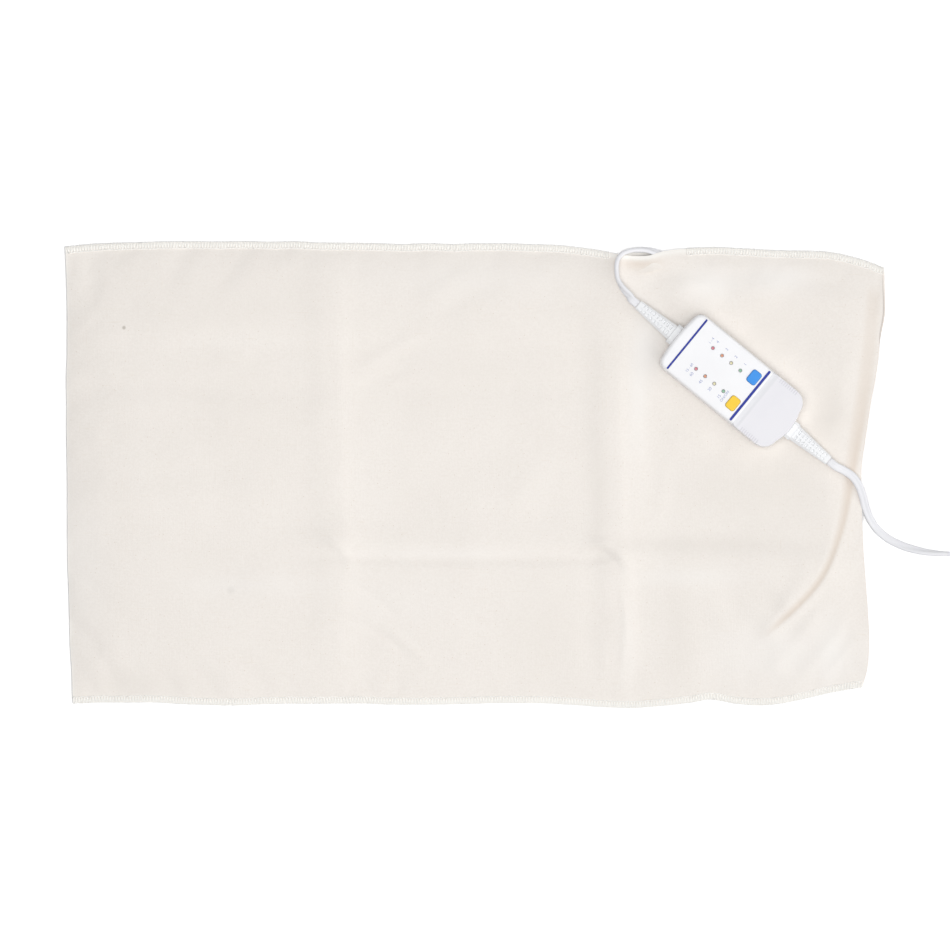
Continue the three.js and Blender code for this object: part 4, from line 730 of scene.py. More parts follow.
FLANNEL = flannel_finish()
THREAD = thread_finish()
FELT = felt_finish()
CASE_PLASTIC = case_finish()
CORD_VINYL = moulded_finish("cord_vinyl", srgb(240, 240, 243), srgb(235, 235, 239), 0.5, 500.0)
BOOT_VINYL = moulded_finish("boot_vinyl", srgb(248, 249, 250), srgb(243, 244, 246), 0.5, 300.0)
NAVY = moulded_finish("navy_inlay", srgb(58, 72, 170), srgb(50, 62, 156), 0.35)
BLUE_KEY = moulded_finish("blue_key", srgb(74, 156, 240), srgb(62, 146, 235), 0.42)
YELLOW_KEY = moulded_finish("yellow_key", srgb(254, 214, 76), srgb(251, 206, 60), 0.42)
BLACK = moulded_finish("black_plastic", srgb(52, 52, 55), srgb(40, 40, 43), 0.45)
VINYL_SHELL = moulded_finish("vinyl_shell", srgb(233, 230, 220), srgb(224, 220, 208), 0.35, 300.0)
WIRE = moulded_finish("wire_cover", srgb(202, 182, 140), srgb(190, 168, 124), 0.5)
BOARD = moulded_finish("board", srgb(52, 118, 74), srgb(40, 100, 62), 0.4)
CAPACITOR = moulded_finish("capacitor_dip", srgb(196, 148, 66), srgb(178, 130, 54), 0.3)
LABEL_INK = moulded_finish("label_ink", srgb(166, 175, 210), srgb(156, 165, 203), 0.5)
GLASS = moulded_finish("fuse_tube", srgb(222, 230, 226), srgb(212, 222, 218), 0.1, Transmission_Weight=0.7)
STEEL = metal_finish("screw_steel", srgb(186, 188, 192), 0.3)
BRASS = metal_finish("blade_brass", srgb(210, 184, 122), 0.28)
LENSES = {
    "red": lens_finish("lens_red", srgb(236, 150, 162), srgb(214, 104, 118)),
    "orange": lens_finish("lens_orange", srgb(238, 174, 138), srgb(216, 128, 92)),
    "yellow": lens_finish("lens_yellow", srgb(246, 240, 204), srgb(216, 208, 152)),
    "green": lens_finish("lens_green", srgb(160, 210, 178), srgb(112, 174, 132)),
}


# Cords

def route_points(route):
    return [(x + CORNER[0], y + CORNER[1], z, roll) for x, y, z, roll in route]


def beyond_tip(sign, distance):
    """A point beyond the tip of a strain relief, in line with it."""
    along = sign * (CASE_LENGTH / 2 + RELIEF_REACH + distance)
    return (CASE_CENTRE[0] + along * math.cos(CASE_TURN), CASE_CENTRE[1] + along * math.sin(CASE_TURN),
            RELIEF_AXIS, 0)


def cord_section():
    """Outline of a flat twin cord: two round cores joined by a thinner web."""
    radius = CORD_THICKNESS / 2
    centre = CORD_WIDTH / 2 - radius
    arc = np.radians(np.linspace(-CORE_ARC, CORE_ARC, CORE_ARC_STEPS))
    right = [(centre + radius * math.cos(a), radius * math.sin(a)) for a in arc]
    left = [(-x, -y) for x, y in right]
    return [*right, (0, CORD_WAIST / 2), *left, (0, -CORD_WAIST / 2)]


def coil_points():
    """The coil's centre line: in on the floor, up a layer, out again, then a tail down to the plug."""
    turns = np.linspace(0, COIL_TURNS, round(COIL_TURNS * COIL_STEPS) + 1)
    middle = COIL_TURNS / 2
    radius = COIL_RADIUS - COIL_PITCH * (middle - np.abs(turns - middle))
    angle = math.pi / 2 - turns * 2 * math.pi
    climb = smoothstep(middle - COIL_CLIMB_TURNS / 2, middle + COIL_CLIMB_TURNS / 2, turns)
    spiral = np.column_stack([
        COIL_CENTRE[0] + radius * np.cos(angle), COIL_CENTRE[1] + radius * np.sin(angle),
        COIL_FLOOR + COIL_LAYER * climb,
    ])
    share = np.linspace(0, 1, TAIL_STEPS + 1)[1:]
    fall = smoothstep(*TAIL_SHARES, share)
    tail = np.column_stack([
        np.full(TAIL_STEPS, COIL_CENTRE[0] + COIL_RADIUS), COIL_CENTRE[1] - share * TAIL_LENGTH,
        COIL_FLOOR + COIL_LAYER + (PLUG_AXIS - COIL_FLOOR - COIL_LAYER) * fall,
    ])
    return np.vstack([spiral, tail])


def make_lead():
    low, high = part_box("lead_entry_block")
    nose = ((low.x + high.x) / 2, high.y + CORD_GAP, low.z + CORD_THICKNESS / 2)
    route = [
        beyond_tip(-1, CORD_GAP), beyond_tip(-1, CORD_GAP + CORD_WIDTH), *route_points(LEAD_ROUTE),
        (nose[0], nose[1] + CORD_WIDTH, nose[2], 0), (*nose, 0),
    ]
    line = resample(smooth_curve(route, ROUTE_STEPS), LEAD_RINGS)
    lead = tube("lead_wire", line[:, :3], np.radians(line[:, 3]), cord_section(), CORD_VINYL)
    seated(lead, "cord", "lead_cord")


def make_mains():
    floor = (COIL_CENTRE[0], COIL_CENTRE[1] + COIL_RADIUS, COIL_FLOOR, 90)
    route = [
        beyond_tip(1, CORD_GAP), beyond_tip(1, CORD_GAP + CORD_WIDTH), *route_points(MAINS_ROUTE),
        (floor[0] - CORD_WIDTH, *floor[1:]), floor,
    ]
    free = resample(smooth_curve(route, ROUTE_STEPS), MAINS_RINGS)
    coil = coil_points()
    points = np.vstack([free[:-1, :3], coil])
    rolls = np.concatenate([free[:-1, 3], np.full(len(coil), 90)])
    mains = tube("mains_lead", points, np.radians(rolls), cord_section(), CORD_VINYL)
    seated(mains, "cord", "mains_cord", "mains_coil")


# Rigid pieces

def level_normals(mesh):
    """Vertex normals weighted by the area of the faces round them, so that wide flat faces stay flat."""
    totals = np.zeros((len(mesh.vertices), 3))
    for face in mesh.polygons:
        totals[list(face.vertices)] += np.array(face.normal) * face.area
    lengths = np.linalg.norm(totals, axis=1)[:, None]
    mesh.normals_split_custom_set_from_vertices(totals / np.maximum(lengths, LEAST_LENGTH))


def refined(name, node, material, slot, bevel, body="pad", swell=0.0):
    """A copy of a rigid node with rounded edges and smooth curves, which stands for it."""
    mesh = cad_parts[node].data.copy()
    made = bmesh.new()
    made.from_mesh(mesh)
    bmesh.ops.remove_doubles(made, verts=made.verts, dist=WELD_DISTANCE)
    bmesh.ops.dissolve_limit(made, angle_limit=FLAT_ANGLE, verts=made.verts, edges=made.edges)
    corners = [e for e in made.edges if e.is_manifold and e.calc_face_angle(0) > SHARP_ANGLE]
    bmesh.ops.bevel(made, geom=corners, offset=bevel, segments=2, affect="EDGES", clamp_overlap=True)
    if swell:
        made.normal_update()
        moves = [(vertex, vertex.normal.copy()) for vertex in made.verts]
        for vertex, normal in moves:
            vertex.co += normal * swell
    made.to_mesh(mesh)
    made.free()
    mesh.polygons.foreach_set("use_smooth", np.ones(len(mesh.polygons), bool))
    level_normals(mesh)
    mesh.materials.clear()
    mesh.materials.append(material)
    return seated(linked(name, mesh), slot, node, body=body)


def seat_flange(boot, case_halves):
    """Brings a strain relief's flange up against the bowed end of the case."""
    surfaces = [
        BVHTree.FromPolygons([v.co for v in half.data.vertices], [f.vertices for f in half.data.polygons])
        for half in case_halves
    ]
    axis = Vector((math.cos(CASE_TURN), math.sin(CASE_TURN), 0))
    for vertex in boot.data.vertices:
        along = (vertex.co - Vector((*CASE_CENTRE, 0))).dot(axis)
        inwards = -axis if along > 0 else axis
        if not FLANGE_FACE[0] < abs(along) - CASE_LENGTH / 2 < FLANGE_FACE[1]:
            continue
        distances = [surface.ray_cast(vertex.co, inwards, FLANGE_REACH)[3] for surface in surfaces]
        room = min((distance for distance in distances if distance is not None), default=FLANGE_GAP)
        vertex.co += inwards * (room - FLANGE_GAP)
    level_normals(boot.data)


def paint(node, material):
    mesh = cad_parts[node].data
    mesh.materials.clear()
    mesh.materials.append(material)


# Cover

class CoverPlan:
    """The cover's outline in plan, filled in between its four edges."""

    def __init__(self, columns, rows):
        self.u = np.linspace(0, 1, columns)
        self.v = np.linspace(0, 1, rows)
        edges = (FRONT_EDGE_SHARES, REAR_EDGE_SHARES, LEFT_FOLD_SHARES, MOUTH_EDGE_SHARES)
        counts = (columns, columns, rows, rows)
        self.front, self.rear, self.left, self.mouth = map(self.edge, edges, counts, EDGE_SEEDS)
        u, v = self.u[:, None, None], self.v[None, :, None]
        along = self.front[:, None] * (1 - v) + self.rear[:, None] * v
        across = self.left[None] * (1 - u) + self.mouth[None] * u
        corners = ((self.front[0] * (1 - u) + self.front[-1] * u) * (1 - v)
                   + (self.rear[0] * (1 - u) + self.rear[-1] * u) * v)
        self.points = along + across - corners
        self.width = np.linalg.norm(self.rear - self.front, axis=1)[:, None]

    @staticmethod
    def edge(shares, count, seed):
        half = np.array([COVER_LENGTH / 2, COVER_WIDTH / 2])
        line = resample(smooth_curve(np.array(shares) * half, EDGE_STEPS), count)
        wander = waves(line[:, 0] + line[:, 1], line[:, 1] * 0, *EDGE_WANDER, seed)
        ends = np.sin(np.linspace(0, math.pi, count)) ** WANDER_FADE
        ahead = np.gradient(line, axis=0)
        normal = np.column_stack([-ahead[:, 1], ahead[:, 0]]) / np.linalg.norm(ahead, axis=1)[:, None]
        return line + normal * (wander * ends)[:, None]


def steps_across(distance, steps):
    """Height over a distance, summed from soft steps."""
    return sum(rise / 2 * (1 + np.tanh((distance - offset) / width)) for offset, width, rise in steps)


def case_distance(x, y):
    """Distance in plan from the controller's footprint."""
    dx, dy = x - CASE_CENTRE[0], y - CASE_CENTRE[1]
    along = dx * math.cos(CASE_TURN) + dy * math.sin(CASE_TURN)
    across = -dx * math.sin(CASE_TURN) + dy * math.cos(CASE_TURN)
    beyond = np.maximum(np.abs(along) - CASE_LENGTH / 2, 0)
    beside = np.maximum(np.abs(across) - CASE_WIDTH / 2, 0)
    return np.hypot(beyond, beside)


def line_distance(x, y, line):
    """Signed distance to a line of points, positive on its left, and the share of its length there."""
    points = resample(smooth_curve(np.array(line), LINE_STEPS), LINE_POINTS)
    best = np.full(x.shape, np.inf)
    signed = np.zeros(x.shape)
    share = np.zeros(x.shape)
    for i, (a, b) in enumerate(zip(points, points[1:])):
        step = b - a
        t = np.clip(((x - a[0]) * step[0] + (y - a[1]) * step[1]) / step.dot(step), 0, 1)
        dx, dy = x - a[0] - t * step[0], y - a[1] - t * step[1]
        distance = np.hypot(dx, dy)
        nearer = distance < best
        best = np.where(nearer, distance, best)
        signed = np.where(nearer, np.sign(step[0] * dy - step[1] * dx) * distance, signed)
        share = np.where(nearer, (i + t) / (len(points) - 1), share)
    return signed, share


def ends_faded(share, start, end):
    return smoothstep(0, start, share) * (1 - smoothstep(end, 1, share))


def crease_relief(x, y):
    """Height of the packing folds and the short wrinkles."""
    wander = waves(x, y, *CREASE_WANDER)
    front = 1 - smoothstep(*CREASE_FRONT_Y, y)
    rear_end = smoothstep(*CREASE_REAR_Y, y)
    past_left = smoothstep(*LONG_CREASE_LEFT_X, x)
    past_right = smoothstep(*LONG_CREASE_RIGHT_X, x)
    lines = (LEFT_CREASE_LINE, RIGHT_CREASE_LINE, LONG_CREASE_LINE, REAR_CREASE_LINE)
    left, right, long, rear = (line_distance(x, y, line)[0] for line in lines)
    long_way = long + wander * LONG_WANDER_SHARE
    relief = sum(steps_across(distance, steps) * share for distance, steps, share in (
        (left + wander, LEFT_CREASE, 1 - LEFT_FADE_SHARE * front),
        (right + wander, RIGHT_CREASE_REAR, (1 - front) * (1 - RIGHT_FADE_SHARE * rear_end)),
        (right + wander, RIGHT_CREASE_FRONT, front),
        (long_way, LONG_CREASE_LEFT, 1 - past_left),
        (long_way, LONG_CREASE_MIDDLE, past_left * (1 - past_right)),
        (long_way, LONG_CREASE_RIGHT, past_right),
        (rear + wander, REAR_CREASE, 1 - smoothstep(*REAR_CREASE_END_X, x)),
    ))
    for start, end, size, width in WRINKLES:
        bow = WRINKLE_BOW_SHARE * math.dist(start, end)
        middle = ((start[0] + end[0]) / 2 + bow, (start[1] + end[1]) / 2 + bow)
        across, along = line_distance(x, y, [start, middle, end])
        relief += ends_faded(along, *WRINKLE_END_SHARES) * size * np.exp(-(across / width) ** 2)
    return relief


def mouth_fold_place(x, y):
    """Distance from the loose fold, the share of its length there, its half width, and how low it is."""
    fold, share = line_distance(x, y, MOUTH_FOLD_LINE)
    low = smoothstep(*FOLD_NARROWS_SHARES, share)
    return fold, share, FOLD_WIDTHS[0] + (FOLD_WIDTHS[1] - FOLD_WIDTHS[0]) * low, low


def mouth_fold(x, y):
    """The loose fold along the mouth, which curves in towards the front edge: a long rise, then a dip."""
    fold, share, width, low = mouth_fold_place(x, y)
    rise = FOLD_RISE * smoothstep(-FOLD_REACH, -width, fold) * (1 - smoothstep(width, 4 * width, fold))
    dip = (FOLD_DIPS[0] + (FOLD_DIPS[1] - FOLD_DIPS[0]) * low) * np.exp(-(fold / width) ** 2)
    return (rise - dip) * ends_faded(share, *FOLD_END_SHARES)


def fold_warmth(x, y):
    """How much of the light on the cloth comes off other cloth: in the fold, and below the lead."""
    fold, share, width, _ = mouth_fold_place(x, y)
    deep = smoothstep(*WARM_DEEPENS_SHARES, share)
    band = np.exp(-(fold / width) ** 4) * ends_faded(share, *WARM_END_SHARES)
    band *= WARM_SHARE + WARM_GAIN * deep
    band *= 1 - WARM_TILT * (1 - np.tanh(3 * fold / width)) * deep
    return np.maximum(band, patches(x, y, LEAD_POCKET))


def soft_relief(x, y):
    """Slow swells of the loose cloth, larger towards the mouth."""
    swell = waves(x, y * WIDE_SKEW, *WIDE_SWELL) + waves(x, y, *SMALL_SWELL)
    loose = 1 + LOOSE_GAIN * smoothstep(*LOOSE_X, x)
    corner = smoothstep(*CORNER_X, x) * (1 - smoothstep(*CORNER_Y, y))
    corner_waves = waves(x * CORNER_SKEWS[0] + y, y - x * CORNER_SKEWS[1], *CORNER_WAVES)
    return swell * loose + patches(x, y, BULGES) + corner_waves * corner + waves(x, y, *FINE_SWELL)


def rise_share(distance):
    """How far the cloth has risen from an edge onto the inner pad."""
    return 1 - np.exp(-np.maximum(distance, 0) / EDGE_RISE)


def eased(share):
    return EDGE_RELIEF_SHARE + (1 - EDGE_RELIEF_SHARE) * share


def cover_top(plan):
    """Height of the cover's upper face over a plan."""
    x, y = plan.points[..., 0], plan.points[..., 1]
    u, v = plan.u[:, None], plan.v[None, :]
    from_seam = np.minimum(v, 1 - v) * plan.width - SEAM_BAND
    risen = rise_share(from_seam) * rise_share(u * COVER_LENGTH)
    at_mouth = smoothstep(0, MOUTH_RISE, (1 - u) * COVER_LENGTH)
    off_case = smoothstep(*CASE_MARGIN, case_distance(x, y))
    full = PAD_TOP + PLUMPNESS * off_case
    plain = np.minimum(EDGE_TOP + (full - EDGE_TOP) * risen, MOUTH_TOP + (full - MOUTH_TOP) * at_mouth)
    relief = (crease_relief(x, y) + mouth_fold(x, y) + soft_relief(x, y)) * off_case * eased(at_mouth)
    loose = plain + relief * eased(risen) + waves(x, y, *EDGE_RIPPLE) * (1 - risen)
    tucked = soft_highest(loose, covered_height(x, y))
    return np.maximum(tucked, EDGE_LIFT + 2 * CLOTH + LEAST_GAP)


def soft_highest(first, second):
    """The higher of two heights, with a soft change from one to the other."""
    return TUCK_BLEND * np.logaddexp(first / TUCK_BLEND, second / TUCK_BLEND)


def covered_height(x, y):
    """How high the cloth must lie to pass over the lead, the lead's block and the thermostats."""
    covered = np.array([point for point in route_points(LEAD_ROUTE) if point[0] > LEAD_COVERED_X])
    away, share = line_distance(x, y, covered[:, :2])
    run = np.concatenate([[0], np.cumsum(np.linalg.norm(np.diff(covered[:, :2], axis=0), axis=1))])
    crown = np.interp(share, run / run[-1], covered[:, 2]) + CORD_THICKNESS / 2
    needed = crown - TUCK_SLOPE * np.maximum(np.abs(away) - CORD_WIDTH / 2, 0)
    pad_layers = SHELL_THICKNESS + 2 * LAYER_CLEARANCE + FELT_LEAST
    for name, above in (("lead_entry_block", 0), *((name, pad_layers) for name in THERMOSTATS)):
        low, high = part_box(name)
        beside = np.hypot(np.maximum(np.maximum(low.x - x, x - high.x), 0),
                          np.maximum(np.maximum(low.y - y, y - high.y), 0))
        needed = np.maximum(needed, high.z + above - TUCK_SLOPE * beside)
    return needed + CLOTH + TUCK_CLEARANCE


class Heights:
    """Looks up a height that is known over the cover's plan."""

    def __init__(self, plan, values):
        self.plan = plan
        self.values = values

    def at(self, x, y):
        u = x / COVER_LENGTH + 0.5
        for _ in range(PLACE_ROUNDS):
            front = np.interp(u, self.plan.u, self.plan.front[:, 1])
            rear = np.interp(u, self.plan.u, self.plan.rear[:, 1])
            v = np.clip((y - front) / (rear - front), 0, 1)
            left = np.interp(v, self.plan.v, self.plan.left[:, 0])
            mouth = np.interp(v, self.plan.v, self.plan.mouth[:, 0])
            u = np.clip((x - left) / (mouth - left), 0, 1)
        i, j = u * (len(self.plan.u) - 1), v * (len(self.plan.v) - 1)
        i0 = np.minimum(i.astype(int), len(self.plan.u) - 2)
        j0 = np.minimum(j.astype(int), len(self.plan.v) - 2)
        fi, fj = i - i0, j - j0
        low = self.values[i0, j0] * (1 - fi) + self.values[i0 + 1, j0] * fi
        high = self.values[i0, j0 + 1] * (1 - fi) + self.values[i0 + 1, j0 + 1] * fi
        return low * (1 - fj) + high * fj


def settled(plan, heights):
    """Lets the upper sheet settle as cloth, a little larger than its space, held at its edges."""
    columns, rows = heights.shape
    points = np.dstack([plan.points, heights]).reshape(-1, 3)
    faces = [
        (i * rows + j, (i + 1) * rows + j, (i + 1) * rows + j + 1, i * rows + j + 1)
        for i in range(columns - 1) for j in range(rows - 1)
    ]
    sheet = piece("settling_sheet", points, faces, FLANNEL)
    x, y = plan.points[..., 0], plan.points[..., 1]
    held = case_distance(x, y) < SETTLE_CASE_MARGIN
    held[0], held[-1], held[:, 0], held[:, -1] = True, True, True, True
    pins = sheet.vertex_groups.new(name="held")
    pins.add(np.flatnonzero(held.ravel()).tolist(), 1.0, "REPLACE")
    cloth = sheet.modifiers.new("cloth", "CLOTH")
    for setting, value in SETTLE_CLOTH.items():
        setattr(cloth.settings, setting, value)
    cloth.settings.effector_weights.gravity = 0.0
    cloth.collision_settings.use_collision = False
    scene = bpy.context.scene
    cloth.point_cache.frame_start = 1
    cloth.point_cache.frame_end = SETTLE_FRAMES
    for number in range(1, SETTLE_FRAMES + 1):
        scene.frame_set(number)
    shaped = sheet.evaluated_get(bpy.context.evaluated_depsgraph_get()).to_mesh()
    co = np.zeros(len(shaped.vertices) * 3, np.float32)
    shaped.vertices.foreach_get("co", co)
    moved = co.reshape(columns, rows, 3)[..., 2].astype(float) - heights
    scene.frame_set(1)
    bpy.data.objects.remove(sheet)
    return SETTLE_SHARE * np.clip(moved, -SETTLE_CAP, SETTLE_CAP)


def enlarge(values, columns, rows):
    """Values of a coarse grid, spread smoothly over a finer one."""
    coarse_u = np.linspace(0, 1, values.shape[0])
    coarse_v = np.linspace(0, 1, values.shape[1])
    wide = np.array([np.interp(np.linspace(0, 1, columns), coarse_u, row) for row in values.T]).T
    return np.array([np.interp(np.linspace(0, 1, rows), coarse_v, column) for column in wide])


def hem_and_painted_light_share(plan, places):
    """1 within the stitched bands of the two long edges, less along the plain fold, where it is painted
    light over the fold's shaded edge, 0 elsewhere.
    """
    front = np.interp(places[:, 0], plan.front[:, 0], plan.front[:, 1])
    rear = np.interp(places[:, 0], plan.rear[:, 0], plan.rear[:, 1])
    left = np.interp(places[:, 1], plan.left[:, 1], plan.left[:, 0])
    inside = np.minimum(places[:, 1] - front, rear - places[:, 1])
    seam = 1 - smoothstep(*(SEAM_WIDTH * share for share in SEAM_FADE_SHARES), inside)
    fold = FOLD_PAINTED_LIGHT * (1 - smoothstep(FOLD_BAND / 2, FOLD_BAND, places[:, 0] - left))
    return np.maximum(seam, fold)


def cover_bottom(plan):
    """Height of the cover's lower face, which lifts off the floor all round."""
    from_seam = np.minimum(plan.v, 1 - plan.v)[None, :] * plan.width
    from_end = np.minimum(plan.u, 1 - plan.u)[:, None] * COVER_LENGTH
    flat = np.minimum(smoothstep(SEAM_BAND, LIFT_REACH, from_seam), smoothstep(0, LIFT_REACH, from_end))
    return EDGE_LIFT * (1 - flat)


def lead_gap_depth(x):
    """How far in the rear seam is open along the cover, for the lead."""
    start, middle, end = LEAD_GAP_X
    over_lead = smoothstep(start, middle, x) * (1 - smoothstep(middle, end, x))
    return LEAD_GAP_LEAST + LEAD_GAP_DEPTH * smoothstep(*LEAD_GAP_SHARES, over_lead)


def sheet_plans(plan):
    """Plans of the upper sheet, drawn back at its corner, and of the lower, which reaches below the lead."""
    upper, lower = plan.points.copy(), plan.points.copy()
    towards_mouth = smoothstep(*LIP_MOUTH_SHARES, plan.u)[:, None]
    upper[..., 0] -= LIP_BACK * smoothstep(*LIP_SHARES, plan.v) * towards_mouth
    near, full, last, past = UNDER_LEAD_X
    x = plan.points[:, -1, 0]
    below_lead = smoothstep(near, full, x) * (1 - smoothstep(last, past, x))
    lower[..., 1] += UNDER_LEAD_REACH * below_lead[:, None] * smoothstep(*UNDER_LEAD_SHARES, plan.v)
    return upper, lower


def rear_side(high, low, inward, depth, inner):
    """Four points down the cover's rear side, from the upper sheet to the lower."""
    if inner:
        share = np.array(SIDE_SHARES)[:, None]
        return high * (1 - share) + low * share
    return np.array([
        (*(point[:2] + inward * reach), point[2] + rise)
        for point, reach, rise in (
            (high, LEAST_GAP, -SIDE_CLOTH), (high, depth, -SIDE_CLOTH),
            (low, depth, SIDE_CLOTH), (low, LEAST_GAP, SIDE_CLOTH))
    ])


def bag_points(plan, top, bottom):
    """Rings of points round the bag: outside from the fold to the mouth, then back along the pocket."""
    depth = lead_gap_depth(plan.points[:, -1, 0])
    upper_plan, lower_plan = sheet_plans(plan)

    def ring(i, inner):
        cloth, band = (CLOTH, SEAM_BAND) if inner else (0, 0)
        inset = band / plan.width[i, 0]
        rear_inset = (band + depth[i] * inner) / plan.width[i, 0]
        v = inset + plan.v * (1 - inset - rear_inset)
        z_top = np.interp(v, plan.v, top[i]) - cloth
        z_bottom = np.minimum(np.interp(v, plan.v, bottom[i]) + cloth, z_top - LEAST_GAP)
        upper, lower = (
            np.column_stack([*(np.interp(v, plan.v, sheet[i, :, k]) for k in (0, 1)), z])
            for sheet, z in ((upper_plan, z_top), (lower_plan, z_bottom))
        )
        inward = plan.points[i, -2] - plan.points[i, -1]
        inward = inward / np.linalg.norm(inward)
        return [*upper, *rear_side(upper[-1], lower[-1], inward, depth[i], inner), *lower[::-1]]

    outside = [ring(i, False) for i in range(COLUMNS)]
    pocket = [ring(i, True) for i in range(COLUMNS - 1, 2, -INNER_STRIDE)]
    return [*outside, *pocket]


def end_cap(start, count):
    """Faces that close a ring of the bag, from its upper points to the lower ones below them."""
    quads = [
        (start + j, start + j + 1, start + count - 2 - j, start + count - 1 - j)
        for j in range(ROWS - 1)
    ]
    side = range(start + ROWS - 1, start + ROWS + len(SIDE_SHARES) + 1)
    return [*quads, tuple(side)]


def make_cover():
    """The flannel bag with the inner pad's sheets in it; gives its plan and heights for the stitching."""
    plan = CoverPlan(COLUMNS, ROWS)
    top = cover_top(plan)
    coarse = CoverPlan(SETTLE_COLUMNS, SETTLE_ROWS)
    top = top + enlarge(settled(coarse, cover_top(coarse)), COLUMNS, ROWS)
    bottom = cover_bottom(plan)
    rings = bag_points(plan, top, bottom)
    count = len(rings[0])
    faces = ring_faces(len(rings), count, caps=False)
    faces += end_cap(0, count) + end_cap((len(rings) - 1) * count, count)
    places = np.vstack(rings)
    cover = piece("flannel_bag", places, faces, FLANNEL)
    cover.data.set_sharp_from_angle(angle=EDGE_ANGLE)
    x, y = places[:, 0], places[:, 1]
    # Shares of painted light on the cloth: warm bounce light, painted highlights and shade, and the stitched
    # bands' white with painted light along the plain fold
    shares = {"warmth": fold_warmth(x, y), "tone": patches(x, y, PAINTED_LIGHT_PATCHES), "hem_and_painted_light": hem_and_painted_light_share(plan, places)}
    for name, values in shares.items():
        attribute = cover.data.attributes.new(name, "FLOAT", "POINT")
        attribute.data.foreach_set("value", values.astype(np.float32))
    seated(cover, "flannel", "flannel_cover")
    make_inner_pad(Heights(plan, top))
    return plan, top, bottom


# Inner pad

LAYER_RINGS = 50
LAYER_SIDE_STEPS = (120, 60)
LAYER_CORNER_STEPS = 6


def rounded_outline(length, width, radius):
    """Points round a rectangle with round corners, and how far in each straight side is divided."""
    points = []
    for quarter, (sx, sy) in enumerate(((1, 1), (-1, 1), (-1, -1), (1, -1))):
        centre = (sx * (length / 2 - radius), sy * (width / 2 - radius))
        for i in range(LAYER_CORNER_STEPS + 1):
            angle = (quarter + i / LAYER_CORNER_STEPS) * math.pi / 2
            points.append((centre[0] + radius * math.cos(angle), centre[1] + radius * math.sin(angle)))
        start = points[-1]
        side_steps = LAYER_SIDE_STEPS[quarter % 2]
        across = (length - 2 * radius, 0) if quarter % 2 == 0 else (0, width - 2 * radius)
        sign = -1 if quarter < 2 else 1
        for i in range(1, side_steps):
            share = i / side_steps
            points.append((start[0] + sign * across[0] * share, start[1] + sign * across[1] * share))
    return np.array(points)


def make_layer(name, node, inset, surfaces, material, slot):
    """A sheet of the inner pad between its lower and upper surfaces."""
    length, width = INNER_LENGTH - 2 * inset, INNER_WIDTH - 2 * inset
    outline = rounded_outline(length, width, INNER_CORNER)
    centre = np.array([INNER_CENTRE_X, 0])
    plans = [centre + outline * (1 - ring / LAYER_RINGS) for ring in range(LAYER_RINGS)]
    low, high = [], []
    for ring in plans:
        lower, upper = surfaces(ring[:, 0], ring[:, 1])
        low.append(np.column_stack([ring, lower]))
        high.append(np.column_stack([ring, upper]))
    rings = [*reversed(low), *high]
    points = np.vstack(rings)
    seated(piece(name, points, ring_faces(len(rings), len(outline)), material), slot, node)


def rim_distance(x, y):
    """Distance inwards from the inner pad's rim."""
    return np.minimum(INNER_LENGTH / 2 - np.abs(x - INNER_CENTRE_X), INNER_WIDTH / 2 - np.abs(y))


def make_inner_pad(cover_heights):
    """The upper shell and the felt follow the cover down to the welded rim."""
    def shell(x, y):
        room = cover_heights.at(x, y) - CLOTH - LAYER_CLEARANCE
        welded = SHELL_WELD + WELD_SLOPE * np.maximum(rim_distance(x, y), 0)
        upper = np.minimum(np.minimum(room, SHELL_TOP), welded)
        return upper - SHELL_THICKNESS, upper

    def felt(x, y):
        upper = np.minimum(shell(x, y)[0] - LAYER_CLEARANCE, FELT_TOP)
        over_wire = rim_distance(x, y) > WIRE_MARGIN
        floor = np.where(over_wire, FELT_OVER_WIRE, FELT_LOWEST)
        for name in THERMOSTATS:
            low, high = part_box(name)
            beyond = np.maximum(np.maximum(low.x - x, x - high.x), np.maximum(low.y - y, y - high.y))
            floor = np.where(beyond < WINDOW_MARGIN, high.z + TUCK_CLEARANCE / 2, floor)
        return np.minimum(np.maximum(upper - FELT_THICKNESS, floor), upper - FELT_LEAST), upper

    make_layer("upper_shell", "inner_shell_top", 0, shell, VINYL_SHELL, "shell")
    make_layer("felt_sheet", "felt_layer", LAYER_INSET, felt, FELT, "felt")


# Stitching

STITCH_PITCH = 0.0024
THREAD_RADIUS = 0.00042
THREAD_SIDES = 6
THREAD_PROUD = 0.8 * THREAD_RADIUS
THREAD_STEEP = 0.9
SEAM_SAMPLES = 3000
REACH_SPREAD = 0.05
PITCH_SPREAD = 0.08

# Heights that the threads follow: of the cloth's edge and of the needle line, on both faces
EDGE_OVER, EDGE_UNDER, LINE_OVER, LINE_UNDER = range(4)

# A thread's path over a stitch: share of reach inwards, share of pitch onwards, height followed, and rise
UPPER_LOOP = (
    (1.0, 0.0, LINE_OVER, 0.2 * THREAD_PROUD), (0.8, 0.02, LINE_OVER, THREAD_PROUD),
    (0.3, 0.05, EDGE_OVER, THREAD_PROUD), (0.0, 0.1, EDGE_OVER, 0.6 * THREAD_PROUD),
    (-0.05, 0.3, EDGE_OVER, -0.0004), (0.0, 0.45, EDGE_OVER, 0.6 * THREAD_PROUD),
    (0.35, 0.65, EDGE_OVER, THREAD_PROUD), (0.8, 0.9, LINE_OVER, THREAD_PROUD),
)
LOWER_LOOP = (
    (1.0, 0.0, LINE_UNDER, -0.2 * THREAD_PROUD), (0.3, 0.05, EDGE_UNDER, -THREAD_PROUD),
    (-0.04, 0.25, EDGE_UNDER, 0.0003), (0.35, 0.65, EDGE_UNDER, -THREAD_PROUD),
    (0.8, 0.9, LINE_UNDER, -THREAD_PROUD),
)
